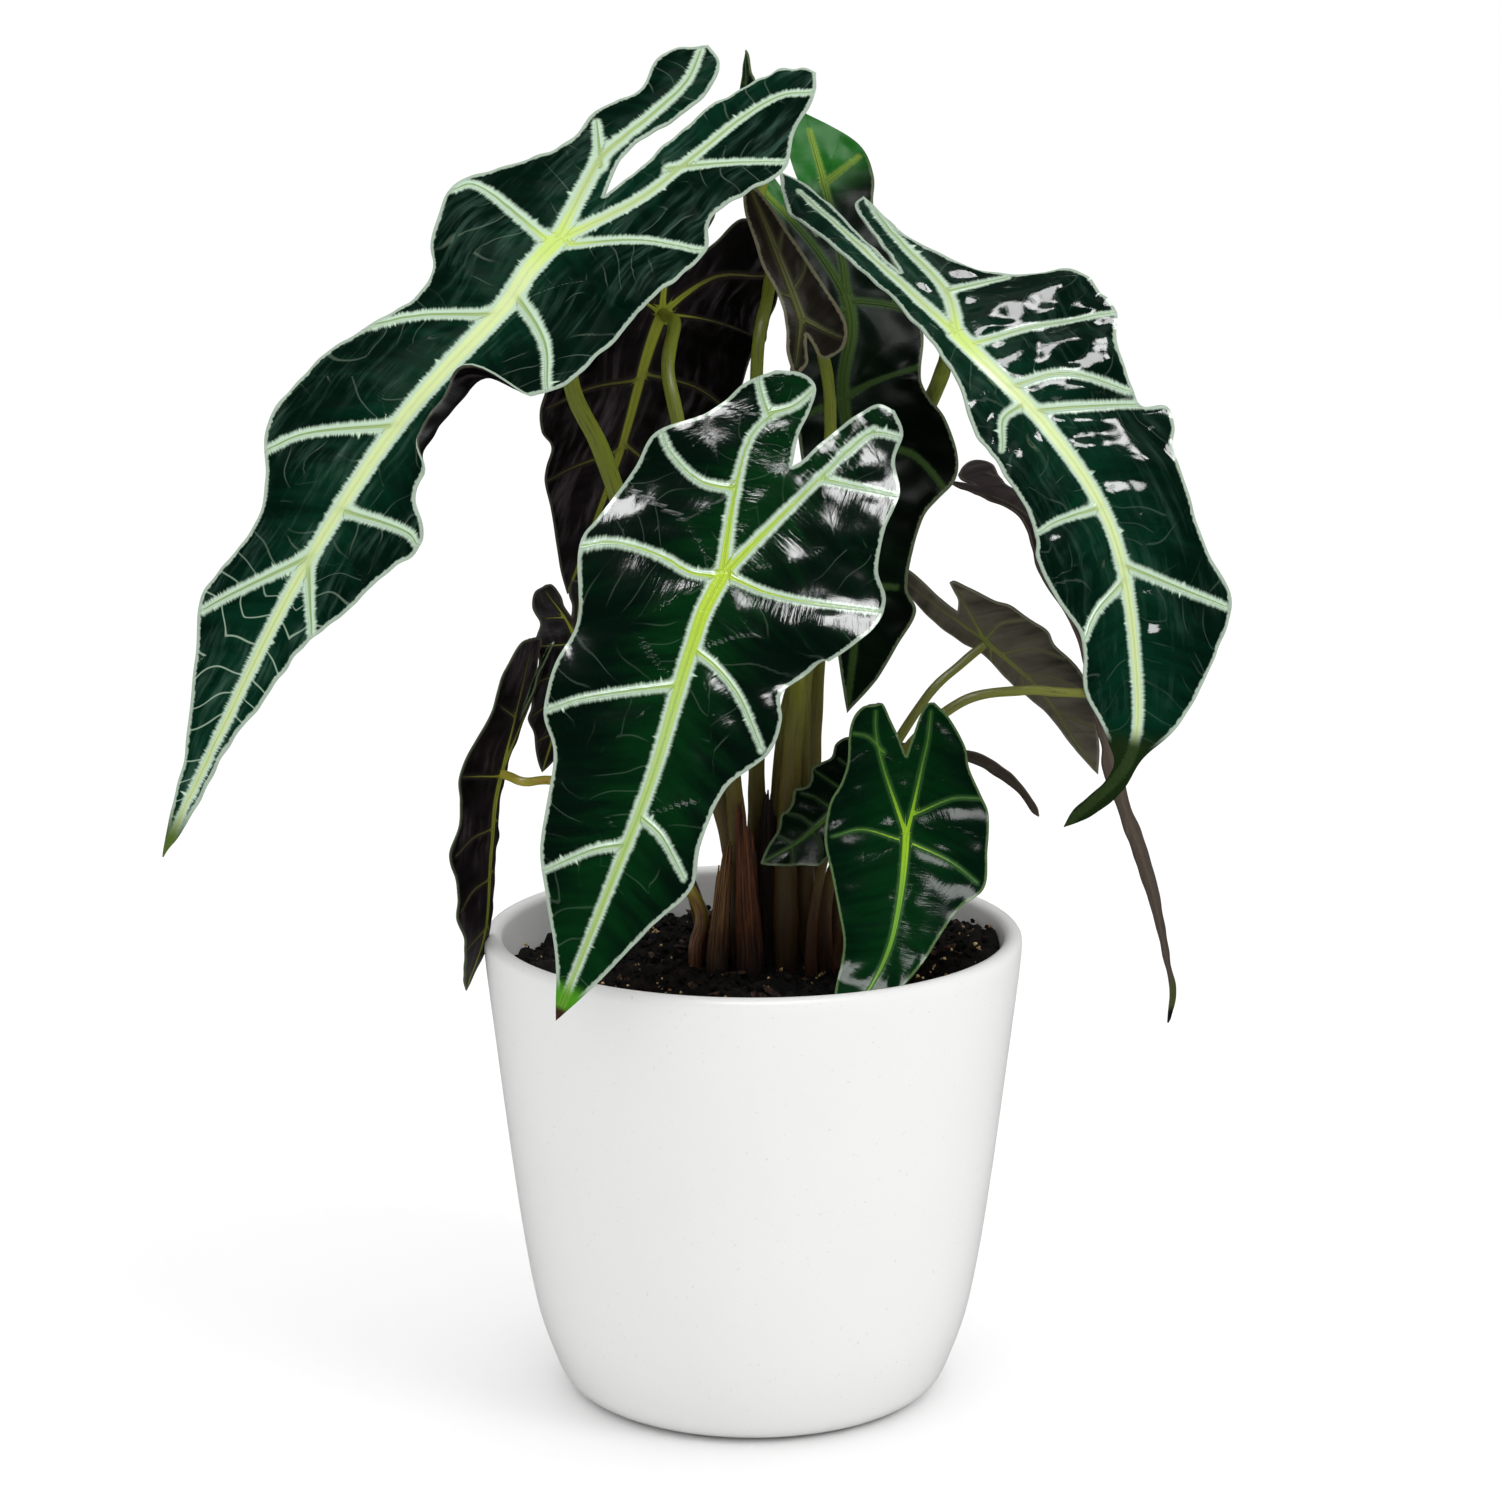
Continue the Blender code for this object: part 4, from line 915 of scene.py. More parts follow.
# Veins as flat points from the joint outwards; the midrib itself runs straight down to the tip
VEINS = {
    "big_left": dict(
        size=1.0, dents=0.25, folds=1.2,
        lobes=[
            [(0, 0), (-8, -22), (-10, -30), (-9.5, -50), (-10, -62), (-14, -72)],
            [(0, 0), (9, -23), (11, -41), (12, -60), (16, -72), (24, -77)],
        ],
        sides=[
            [(-2, 1), (-28, -1), (-33, 4)], [(0, 26), (-16, 38), (-26, 51)], [(0, 67), (-19, 80), (-27, 90)],
            [(0, 108), (-20, 133)], [(4, -1), (21, -12), (38, -18)], [(0, 19), (19, 28), (32, 40)],
            [(0, 94), (21, 92), (28, 94)], [(0, 110), (14, 128)], [(-8, -26), (-19, -36)],
            [(8, -36), (34, -54)],
        ],
    ),
    "front": dict(
        size=0.7, dents=0.6, folds=0.5, quilt=0.9,
        lobes=[
            [(0, 0), (-9, -21), (-13, -34), (-12, -43)], [(0, 0), (4, -18), (8, -35), (10, -44), (13, -53)],
        ],
        sides=[
            [(-12, -42), (-16, -45), (-21, -50)], [(-12, -43), (-8, -48), (-6, -55)],
            [(-9, -21), (-18, -18), (-28, -20), (-35, -25)], [(8, -35), (18, -38), (28, -41)],
            [(10, -44), (13, -52), (21, -55)], [(-2, 1), (-8, 3), (-16, 3), (-27, 5), (-36, 9)],
            [(2, -1), (13, -2), (26, -6), (41, -13)], [(0, 20), (8, 23), (16, 29), (25, 40)],
            [(0, 30), (-14, 36), (-24, 41), (-31, 46)], [(0, 65), (8, 68), (17, 75)],
            [(0, 73), (-8, 78), (-17, 87)],
        ],
    ),
    "big_right": dict(
        size=0.8, dents=1.5, folds=1.8, quilt=1.1,
        lobes=[[(0, 0), (-4, -37), (-8, -68)], [(0, 0), (7, -16), (7, -40), (8, -57)]],
        sides=[
            [(7, -16), (25, -13)], [(2, 4), (20, 10), (40, 24)], [(0, 20), (14, 26), (26, 38)],
            [(0, 29), (16, 37), (32, 45)], [(0, 76), (14, 84), (26, 90)], [(0, 26), (-10, 26), (-18, 34)],
            [(0, 60), (-14, 59), (-23, 60)], [(0, 80), (-10, 87), (-15, 94)],
        ],
    ),
    "young": dict(
        size=0.36, dents=0.5, folds=0.8, quilt=1.1,
        lobes=[[(0, 0), (-6, -18), (-8, -28), (-8, -34)], [(0, 0), (4, -18), (6, -26), (7, -34)]],
        sides=[
            [(-2, 1), (-12, -1), (-20, 2)], [(2, 2), (12, 6), (20, 11)], [(2, -6), (12, -10), (20, -10)],
            [(-6, -23), (-10, -27), (-14, -28)],
        ],
    ),
    "rear": dict(
        size=0.5, quilt=1.3,
        lobes=[[(0, 0), (-3, -20), (-8, -40)], [(0, 0), (9, -32), (13, -48)]],
        sides=[
            [(0, 1), (16, 6)], [(0, 30), (23, 16)], [(0, 44), (16, 48), (26, 62)], [(0, 82), (10, 82)],
            [(9, -32), (21, -34)], [(0, 30), (-12, 34)], [(0, 60), (-12, 66)], [(0, 4), (-11, 2)],
        ],
    ),
    "purple": dict(
        size=0.7,
        lobes=[[(0, 0), (-10, -18), (-26, -28)], [(0, 0), (8, -16), (16, -29)]],
        sides=[
            [(0, 0), (-20, -4), (-35, -6)], [(0, 18), (-18, 22), (-32, 30)], [(0, 40), (-14, 48), (-26, 54)],
            [(0, 0), (14, -3), (22, -4)], [(0, 20), (14, 24), (24, 32)], [(0, 42), (12, 50), (18, 56)],
        ],
    ),
    "hood": dict(
        size=0.4,
        lobes=[[(0, 0), (-5, -5), (-9, -8)], [(0, 0), (3, -7), (5, -12)]],
        sides=[[(0, 8), (-5, 12), (-7, 16)], [(0, 20), (-4, 26)], [(0, 6), (4, 10), (6, 14)]],
    ),
    "grey": dict(
        size=0.32, quilt=1.3,
        lobes=[[(0, 0), (-3, -10), (-5, -18)], [(0, 0), (3, -14), (6, -30)]],
        sides=[
            [(0, 0), (-8, -2), (-15, 2)], [(0, 6), (-8, 10), (-13, 18)], [(0, 16), (-7, 22), (-12, 30)],
            [(0, 30), (-5, 36), (-8, 40)], [(0, 2), (5, 8), (6, 14)], [(0, 14), (4, 20), (5, 25)],
        ],
    ),
    "edge_right": dict(
        size=0.35,
        lobes=[[(0, 0), (-4, -40), (-6, -72)], [(0, 0), (4, -40), (9, -78)]],
        sides=[[(-2, -20), (-8, -28)], [(-3, -34), (-10, -44)], [(0, 20), (4, 28)], [(0, 34), (-4, 42)]],
    ),
}
PLAIN_VEINS = dict(
    lobes=[[(0, 0), (-5, -18), (-12, -38)], [(0, 0), (5, -18), (12, -38)]],
    sides=[
        [(0, 1), (-14, 2), (-27, 3)], [(0, 1), (14, 2), (27, 3)], [(0, 20), (-14, 23), (-23, 30)],
        [(0, 24), (14, 27), (24, 34)], [(0, 42), (-12, 46), (-19, 54)], [(0, 46), (12, 50), (19, 58)],
        [(0, 66), (-8, 72), (-12, 77)], [(0, 68), (8, 74), (12, 79)], [(-5, -18), (-17, -20)],
        [(5, -18), (17, -20)],
    ],
)

# Half the width of a vein at its start and its end, and how yellow it is at each
MIDRIB = ((3.3, 0.8), (1.0, 0.7))
LOBE_VEIN = ((2.3, 0.8), (0.75, 0.1))
SIDE_VEIN = ((1.6, 0.75), (0.35, 0.0))

# The outline that the smaller leaves share, for a leaf 100 long and 29 to each side
PLAIN_LENGTH = 100
PLAIN_WIDTH = 29
PLAIN_VEIN_LEAST = 0.3
PLAIN_VEIN_MOST = 0.6
PLAIN_VEIN_RUN = 400
PLAIN_MARGIN = [
    (13, -43), (20, -40), (24, -30), (22, -18), (26, -8), (29, 3), (25, 12), (24, 22), (28, 33), (23, 43),
    (21, 52), (21, 61), (14, 71), (9, 84), (4, 94),
]
PLAIN_SINUS = [(7, -43), (3, -34), (1.6, -26), (0, -18)]
SINUS_LEAST = 1.2


def plain_sized(points, reach, widths, lobes, side=1, least=0):
    """The shared leaf's points at this leaf's size; lobes lengthens what lies behind the joint."""
    found = []
    for x, y in points:
        wide = widths[side * x > 0] / PLAIN_WIDTH
        off = np.sign(x) * max(abs(x) * wide, least)
        found.append((side * off, y * reach / PLAIN_LENGTH * (lobes if y < 0 else 1)))
    return found


def close_to(points, path):
    """Distance to the path, its sign by the side of it, and how far along it."""
    start, way = path[:-1], np.diff(path, axis=0)
    size = np.maximum(np.linalg.norm(way, axis=1), 1e-9)
    before = np.r_[0, np.cumsum(size)[:-1]]
    found = []
    for part in np.array_split(points, max(len(points) // CHUNK, 1)):
        gap = part[:, None] - start
        share = np.clip((gap * way).sum(-1) / size**2, 0, 1)
        off = gap - share[..., None] * way
        span = np.hypot(off[..., 0], off[..., 1])
        best = np.argmin(span, axis=1)
        rows = np.arange(len(part))
        side = way[best, 0] * off[rows, best, 1] - way[best, 1] * off[rows, best, 0]
        run = before[best] + share[rows, best] * size[best]
        found.append(np.stack([span[rows, best], np.where(side < 0, -1, 1), run], -1))
    return np.vstack(found)


def vein_map(points, veins, reach):
    """For each flat point: distance outside a vein, offset from its middle, run from the joint, warmth."""
    size = veins["size"]
    routes = [([(0, 0), (0, reach)], MIDRIB)]
    routes += [(route, LOBE_VEIN) for route in veins["lobes"]]
    routes += [(route, SIDE_VEIN) for route in veins["sides"]]
    rows = []
    for route, (halves, warmths) in routes:
        path, length = curve_through(route, fineness=8)
        span, side, run = close_to(points, path).T
        left = 1 - run / length[-1]
        half = size * (halves[1] + (halves[0] - halves[1]) * left**0.9)
        warmth = warmths[1] + (warmths[0] - warmths[1]) * left
        rows.append(np.stack([span - half, span * side, run + np.hypot(*route[0]), warmth], -1))
    rows = np.array(rows)
    best = np.argmin(rows[..., 0], axis=0)
    chosen = rows[best, np.arange(len(points))]
    blend = VEIN_BLEND * size
    least = rows[..., 0].min(axis=0)
    shares = np.exp(-(rows[..., 0] - least) / blend)
    chosen[:, 0] = least - blend * np.log(shares.sum(axis=0))
    chosen[:, 3] = (shares * rows[..., 3]).sum(axis=0) / shares.sum(axis=0)
    return chosen


def half_points(margin, sinus, reach, across, along):
    """Flat points of one half: along runs from the lobe's end to the tip, across from the midrib out."""
    outer, outer_length = curve_through(margin + [(0, reach)])
    inner, inner_length = curve_through([margin[0]] + sinus, fineness=16)
    bottom = sinus[-1][1]
    lobe_share = inner_length[-1] / (inner_length[-1] + reach - bottom)
    lobe_run = np.clip(along / lobe_share, 0, 1) * inner_length[-1]
    body = np.clip((along - lobe_share) / (1 - lobe_share), 0, 1)
    starts = np.where(
        (along < lobe_share)[:, None],
        sampled(inner, inner_length, lobe_run),
        np.stack([0 * body, bottom + body * (reach - bottom)], -1),
    )
    ends = sampled(outer, outer_length, outer_length[-1] * along)
    return starts + (ends - starts) * across[:, None], np.vstack([inner[::-1], outer[1:]])


def surface_normals(points, shape):
    """Unit vectors square to the upper side at each flat point."""
    nudge = 0.4
    right = shape.place(points + (nudge, 0)) - shape.place(points - (nudge, 0))
    ahead = shape.place(points + (0, nudge)) - shape.place(points - (0, nudge))
    return unit(np.cross(ahead, right))


def relief_height(flat, vein, rim, veins, number):
    """How far each flat point is raised, in millimetres."""
    size = veins["size"]
    outside = np.clip(vein[:, 0], 0, None)
    quilt = QUILT * size * veins.get("quilt", 1) * eased(rim / RIM_EASE)
    quilt *= 1 - np.exp(-((outside / VEIN_EASE) ** 1.3))
    sloping = flat[:, 1] - FOLD_SLOPE * np.abs(flat[:, 0])
    outward = np.stack([flat[:, 0], sloping], -1) / FOLD_PERIODS
    inside = eased(outside / FINE_EASE) * eased(rim / FINE_EASE)
    folds = FOLDS * veins.get("folds", 1) * drift(outward + number * 9, 1, FOLD_SEED, waves=9) * inside
    pits = drift(flat / DENT_PERIOD + number * 3, 1, DENT_SEED, waves=12)
    dents = DENTS * veins.get("dents", 1) * pits * inside
    frill = drift(flat / FRILL_PERIOD + number * 5, 1, FRILL_SEED)
    return quilt + folds + dents + FRILL * size * np.exp(-rim / FRILL_REACH) * frill


def leaf_blade(key, leaf, number):
    shape, veins = SHAPES[key], VEINS.get(key)
    if "plain" in leaf:
        lobes, widths = leaf.get("lobes", 1), leaf["plain"]
        size = (shape.reach, widths, lobes)
        margins = [plain_sized(PLAIN_MARGIN, *size, side, SINUS_LEAST) for side in (-1, 1)]
        sinuses = [plain_sized(PLAIN_SINUS, *size, side, SINUS_LEAST) for side in (-1, 1)]
        veins = {
            kind: [plain_sized(route, *size) for route in routes] for kind, routes in PLAIN_VEINS.items()
        }
        veins["size"] = min(PLAIN_VEIN_MOST, PLAIN_VEIN_LEAST + shape.reach / PLAIN_VEIN_RUN)
    else:
        margins, sinuses = (leaf["left"], leaf["right"]), leaf["sinuses"]
    spacing = (POINT_SPACING if veins["size"] > FINE_UP_TO else FINE_SPACING) * 1
    halves = []
    for side in (0, 1):
        outline = np.array(margins[side], float)
        around = np.linalg.norm(np.diff(outline, axis=0), axis=1).sum()
        wide = np.abs(outline[:, 0]).max()
        columns, rows = max(int(wide / spacing), LEAST_COLUMNS), max(int(around / spacing), LEAST_ROWS)
        piece, across, along = sheet(f"{key}_{side}", columns, rows)
        flat, edge = half_points(margins[side], sinuses[side], shape.reach, across, along)
        flat[:, 0] += np.where(across > 1e-4, (side - 0.5) * HAIR, 0)
        vein = vein_map(flat, veins, shape.reach)
        rim = close_to(flat, edge)[:, 0]
        raised = relief_height(flat, vein, rim, veins, number)
        spots = shape.place(flat) + surface_normals(flat, shape) * raised[:, None]
        move_points(piece, spots * MM)
        add_vectors(piece, "vein", vein[:, :3])
        warmth = piece.data.attributes.new("warmth", "FLOAT", "POINT")
        warmth.data.foreach_set("value", vein[:, 3].astype(np.float32))
        add_vectors(piece, "blade", np.stack([rim, flat[:, 0] + number * LEAF_STEP, flat[:, 1]], -1))
        if side == 1:
            piece.data.flip_normals()
        halves.append(piece)
    select_only(*halves)
    bpy.ops.object.join()
    piece = bpy.context.object
    piece.name = piece.data.name = "leaf_" + key
    bpy.ops.object.mode_set(mode="EDIT")
    bpy.ops.mesh.select_all(action="SELECT")
    bpy.ops.mesh.remove_doubles(threshold=0.02 * MM)
    bpy.ops.object.mode_set(mode="OBJECT")
    return piece


def group_tree(name, inputs, outputs):
    tree = bpy.data.node_groups.new(name, "ShaderNodeTree")
    for word, value in inputs.items():
        socket = tree.interface.new_socket(word, in_out="INPUT", socket_type="NodeSocketFloat")
        socket.default_value = value
    for word in outputs:
        tree.interface.new_socket(word, in_out="OUTPUT", socket_type="NodeSocketFloat")
    given = tree.nodes.new("NodeGroupInput").outputs
    taken = tree.nodes.new("NodeGroupOutput").inputs
    return tree, given, taken


def use_group(tree, group, **values):
    made = tree.nodes.new("ShaderNodeGroup")
    made.node_tree = group
    for word, value in values.items():
        made.inputs[word.replace("_", " ")].default_value = value
    return made.outputs


def vector_of(*parts):
    return node(parts[0].id_data, "CombineXYZ", *parts)


def hand_over(taken, **values):
    """Links what a group works out to its outputs of the same names."""
    for word, value in values.items():
        value.id_data.links.new(value, taken[word])


def vein_pattern():
    """Toothed pale veins with a greener core, faint veinlets between them and a pale margin."""
    tree, given, taken = group_tree(
        "vein pattern",
        {"Tooth": 0.8, "Margin width": 1.1, "Joint run": 20.0, "Ladder": 0.0},
        ("Vein", "Core", "Middle", "Joint", "Edge", "Veinlet", "Rib", "Ray"),
    )
    outside, offset, run = read_vector(tree, "vein")
    rim, flat_x, flat_y = read_vector(tree, "blade")
    warmth = attribute(tree, "warmth", "Fac")
    side = maths("SIGN", offset)
    flat = vector_of(flat_x, flat_y, 0.0)

    # Fine teeth along the vein's edge, with a longer thorn here and there
    across_shift = plus(times(side, 40.0), times(flat_x, 0.06))
    tooth_place = vector_of(run, across_shift, times(flat_y, 0.05))
    fine = step(cloud(tooth_place, 2.2, 2, 0.7), 0.35, 0.75)
    thorn = step(cloud(stretched(tooth_place, (0.55, 1, 1)), 1, 1), 0.66, 0.84)
    tooth = plus(fine, times(thorn, 3.2))
    vein = step(minus(outside, times(tooth, given["Tooth"])), 0.85, -0.4)

    # The greener core, wider where the vein is warm, a line down its middle, and the stretch by the joint
    span = maths("ABSOLUTE", offset)
    half = maths("MAXIMUM", minus(span, outside), 0.35)
    place_across = maths("DIVIDE", span, half)
    core_edge = plus(times(warmth, 0.5), 0.4)
    core = step(place_across, core_edge, minus(core_edge, 0.32))
    thin = step(span, 0.34, 0.1)
    middle = times(thin, step(half, 2.3, 1.7))
    joint = step(maths("DIVIDE", run, given["Joint run"]), 1, 0.1)

    # The pale margin
    ragged = times(cloud(flat, 0.9, 2), given["Margin width"])
    edge = step(minus(rim, ragged), 0.6, 0.1)

    # Faint veinlets, one every few millimetres, that lean away from the vein and thicken near the tip
    wander = times(cloud(flat, 0.05, 1), 16.0)
    leaning = plus(times(outside, -0.55), wander)
    beat = maths("FRACT", maths("DIVIDE", plus(run, leaning), VEINLET_STEP))
    line = step(maths("ABSOLUTE", minus(beat, 0.5)), 0.05, 0.012)
    here = step(cloud(flat, 0.06, 1), 0.45, 0.6)
    tail = times(step(flat_y, *VEINLET_TAIL), given["Ladder"])
    veinlet = times(line, maths("MAXIMUM", times(here, 0.2), tail))

    # Relief: the round of the rib, and fine rays of stretched skin beside it
    rib = minus(step(place_across, 1.05, 0.35), times(thin, 0.5))
    ray_place = vector_of(run, times(offset, 0.09), times(side, 9.0))
    ray = times(cloud(ray_place, 0.75, 3, 0.65), step(outside, 16, 4))
    hand_over(taken, Vein=vein, Core=core, Middle=middle, Joint=joint)
    hand_over(taken, Edge=edge, Veinlet=veinlet, Rib=rib, Ray=ray)
    return tree


def furrow_pattern():
    """Long low furrows, a fine leather grain, where the lamina takes its lit copy (partly tone at random,
    partly painted light) and strokes of painted sheen.
    """
    tree, given, taken = group_tree(
        "furrows", {"Furrow": 0.3, "Grain": 0.02}, ("Height", "Patch", "Streak")
    )
    _, flat_x, flat_y = read_vector(tree, "blade")
    flat = vector_of(flat_x, flat_y, 0.0)
    turns = maths("ROUND", maths("DIVIDE", flat_x, LEAF_STEP))
    from_middle = maths("ABSOLUTE", minus(flat_x, times(turns, LEAF_STEP)))
    sloping = minus(flat_y, times(from_middle, FOLD_SLOPE))
    long = cloud(vector_of(times(flat_x, 0.05), times(sloping, 0.25), 0.0), 1, 3, 0.55)
    height = plus(times(long, given["Furrow"]), times(cloud(flat, 2.4, 2), given["Grain"]))
    # The share of the lamina's lit copy: partly tone at random, partly painted light near the midrib and
    # where the long furrows rise
    lit_share = step(plus(times(step(from_middle, 24, 0), 0.35), times(long, 0.75)), 0.35, 0.85)
    # Feathery strokes of painted sheen, combed along the leaf and shown only in places
    combed_x = plus(times(flat_x, 0.36), times(cloud(flat, 0.03, 1), 3.0))
    combed = vector_of(combed_x, times(flat_y, 0.045))
    sheen_strokes = step(cloud(combed, 1, 4, 0.62), 0.44, 0.74)
    where = step(cloud(flat, 0.045, 2), 0.36, 0.6)
    hand_over(taken, Height=height, Patch=lit_share, Streak=times(sheen_strokes, where))
    return tree


VEINLET_STEP = 7.0
VEINLET_TAIL = (100, 135)
VEIN_GROUP = vein_pattern()
FURROW_GROUP = furrow_pattern()


# The lit copy of a colour, for painted light
def lit_copy(colour):
    return tuple(1.35 * share for share in colour)


def leaf_material(
    name, shades, gloss, tooth, margin, relief, veinlet, level=0.5, run=20, zones=(), sheen_streak=0,
    sheen=(0.06, 0.13, 0.095),
):
    """The look of one side of a blade.

    shades: the lamina's dark colour and its lit copy for painted light, vein edge, vein core pale and warm,
    joint, middle line, margin
    tooth, margin: how ragged the veins are, and how wide the pale rim
    relief: rib, ray and furrow; veinlet: how strong, and how far they cover the tail; run: the joint's
    zones: two flat heights, then the lamina and the vein past them; and how strongly feathery strokes of
    painted sheen lighten the lamina
    """
    dark, lit, halo, core, warm, joint, middle, edge = shades
    rib, ray, furrow = relief
    made, tree, shader = new_material(name, dark, gloss, Specular_IOR_Level=level)
    strength, ladder = veinlet
    veins = use_group(tree, VEIN_GROUP, Tooth=tooth, Margin_width=margin, Joint_run=run, Ladder=ladder)
    furrows = use_group(tree, FURROW_GROUP, Furrow=furrow)
    warmth = attribute(tree, "warmth", "Fac")
    # The lamina between its dark colour and its lit copy: painted light, partly tone at random
    colour = mixed(furrows["Patch"], dark, lit)
    # Strokes of painted sheen in the sheen colour
    colour = mixed(times(furrows["Streak"], sheen_streak), colour, sheen)
    colour = mixed(times(veins["Veinlet"], strength), colour, halo)
    pale_rib = mixed(veins["Core"], halo, core)
    warm_rib = mixed(veins["Core"], halo, warm)
    colour_rib = mixed(warmth, pale_rib, warm_rib)
    colour_rib = mixed(times(veins["Joint"], veins["Core"]), colour_rib, joint)
    colour_rib = mixed(times(veins["Middle"], 0.22), colour_rib, middle)
    colour = mixed(veins["Vein"], colour, colour_rib)
    colour = mixed(times(veins["Edge"], 0.85), colour, edge)
    for low, high, lamina, vein in zones:
        flat_y = read_vector(tree, "blade")[2]
        # A zone's lamina also takes a lit copy of painted light
        local = mixed(veins["Vein"], mixed(furrows["Patch"], lamina, lit_copy(lamina)), vein)
        colour = mixed(step(flat_y, low, high), colour, local)
    roughness = plus(times(veins["Vein"], 0.16), gloss)
    height = plus(furrows["Height"], times(veins["Rib"], rib))
    height = plus(height, times(veins["Ray"], ray))
    finish_shader(tree, shader, colour, roughness, height, depth=0.001, strength=1.0)
    return made


DARK_SHADES = (
    (0.0005, 0.008, 0.004), (0.0015, 0.026, 0.012), (0.52, 0.68, 0.52), (0.20, 0.33, 0.13),
    (0.70, 0.82, 0.40), (0.58, 0.76, 0.20), (0.34, 0.46, 0.16), (0.42, 0.52, 0.42),
)
CENTRE_SHADES = (
    (0.0005, 0.006, 0.003), (0.0008, 0.028, 0.005), (0.52, 0.68, 0.52), (0.26, 0.42, 0.18),
    (0.46, 0.65, 0.18), (0.44, 0.64, 0.02), (0.24, 0.36, 0.12), (0.42, 0.52, 0.42),
)
YOUNG_SHADES = (
    (0.0008, 0.010, 0.004), (0.0015, 0.030, 0.006), (0.03, 0.11, 0.02), (0.03, 0.12, 0.012),
    (0.20, 0.46, 0.04), (0.34, 0.60, 0.015), (0.10, 0.24, 0.02), (0.12, 0.20, 0.08),
)
# The rear leaf hangs in shadow behind the others: its colours, veins and all, are darkened with painted
# shade
REAR_IN_SHADE = (
    (0.0006, 0.003, 0.001), (0.0015, 0.010, 0.003), (0.04, 0.09, 0.02), (0.05, 0.10, 0.015),
    (0.04, 0.08, 0.01), (0.05, 0.10, 0.01), (0.02, 0.04, 0.006), (0.14, 0.18, 0.10),
)
SMALL_SHADES = (
    (0.0005, 0.003, 0.001), (0.001, 0.010, 0.003), (0.010, 0.035, 0.006), (0.016, 0.05, 0.008),
    (0.05, 0.14, 0.012), (0.08, 0.2, 0.015), (0.02, 0.05, 0.005), (0.10, 0.14, 0.07),
)
HOOD_SHADES = (
    (0.004, 0.003, 0.002), (0.017, 0.014, 0.009), (0.035, 0.037, 0.014), (0.05, 0.052, 0.017),
    (0.07, 0.07, 0.02), (0.09, 0.10, 0.025), (0.03, 0.03, 0.01), (0.16, 0.15, 0.09),
)
DRY_SHADES = (
    (0.012, 0.008, 0.008), (0.035, 0.024, 0.022), (0.05, 0.04, 0.028), (0.06, 0.045, 0.03),
    (0.07, 0.05, 0.03), (0.07, 0.06, 0.03), (0.03, 0.02, 0.015), (0.08, 0.06, 0.045),
)
UNDER_SHADES = (
    (0.0015, 0.0008, 0.001), (0.010, 0.007, 0.008), (0.022, 0.018, 0.012), (0.035, 0.032, 0.012),
    (0.24, 0.27, 0.025), (0.30, 0.34, 0.03), (0.12, 0.12, 0.02), (0.07, 0.07, 0.05),
)
GREY_SHADES = (
    (0.028, 0.026, 0.017), (0.13, 0.115, 0.085), (0.12, 0.12, 0.065), (0.13, 0.13, 0.06),
    (0.19, 0.20, 0.06), (0.22, 0.26, 0.05), (0.07, 0.07, 0.03), (0.20, 0.19, 0.14),
)
DRIED = ((0.055, 0.042, 0.032), (0.09, 0.07, 0.05))
SMALL_UPPER = leaf_material(
    "small_upper", SMALL_SHADES, gloss=0.22, tooth=0.12, margin=0.6, relief=(0.2, 0.05, 0.1),
    veinlet=(0.05, 0.0), level=0.3,
)
UNDER = leaf_material(
    "purple_under", UNDER_SHADES, gloss=0.5, tooth=0.12, margin=0.5, relief=(-0.3, 0.0, 0.2),
    veinlet=(0.3, 0.0), level=0.15, sheen_streak=0.7, sheen=(0.075, 0.058, 0.066),
)
DRY = leaf_material(
    "dry_blade", DRY_SHADES, gloss=0.5, tooth=0.1, margin=0.5, relief=(0.2, 0.0, 0.5),
    veinlet=(0.1, 0.0), level=0.2,
    zones=[(2, 16, *DRIED), (84, 88, (0.05, 0.06, 0.014), (0.07, 0.08, 0.02)), (93, 95, *HOOD_SHADES[:2])],
)
UPPER_LOOKS = {
    "big_left": leaf_material(
        "left_upper", DARK_SHADES, gloss=0.34, tooth=0.7, margin=1.1, relief=(0.3, 0.05, 0.1),
        veinlet=(0.5, 1.0), level=0.01, run=16,
        zones=[(180, 190, (0.03, 0.06, 0.012), (0.09, 0.14, 0.03))], sheen_streak=0.5,
    ),
    "front": leaf_material(
        "centre_upper", CENTRE_SHADES, gloss=0.13, tooth=0.5, margin=1.1, relief=(0.35, 0.18, 0.05),
        veinlet=(0.25, 0.3), level=0.55, run=50,
        zones=[
            (111, 116, (0.05, 0.20, 0.01), (0.12, 0.34, 0.02)),
            (118.5, 120.5, (0.03, 0.012, 0.006), (0.05, 0.02, 0.01)),
        ],
    ),
    "big_right": leaf_material(
        "right_upper", DARK_SHADES, gloss=0.07, tooth=0.5, margin=1.1, relief=(0.3, 0.03, 0.04),
        veinlet=(0.25, 0.2), level=0.42, run=14,
        zones=[(118, 124, (0.007, 0.016, 0.004), (0.025, 0.05, 0.012))], sheen_streak=0.25,
    ),
    # The rear leaf in painted shade; its lobe's end takes a brighter green
    "rear": leaf_material(
        "rear_upper_in_shade", REAR_IN_SHADE, gloss=0.36, tooth=0.3, margin=0.9, relief=(0.3, 0.03, 0.05),
        veinlet=(0.1, 0.0), level=0.08,
        zones=[(-24, -38, (0.014, 0.14, 0.014), (0.22, 0.36, 0.04))],
    ),
    "young": leaf_material(
        "young_upper", YOUNG_SHADES, gloss=0.12, tooth=0.1, margin=0.5, relief=(0.22, 0.07, 0.04),
        veinlet=(0.06, 0.0), level=0.16,
    ),
    "hood": leaf_material(
        "hood_upper", HOOD_SHADES, gloss=0.4, tooth=0.1, margin=0.9, relief=(0.2, 0.0, 0.2),
        veinlet=(0.05, 0.0), level=0.08,
    ),
    "edge_right": DRY,
    "sliver": DRY,
}
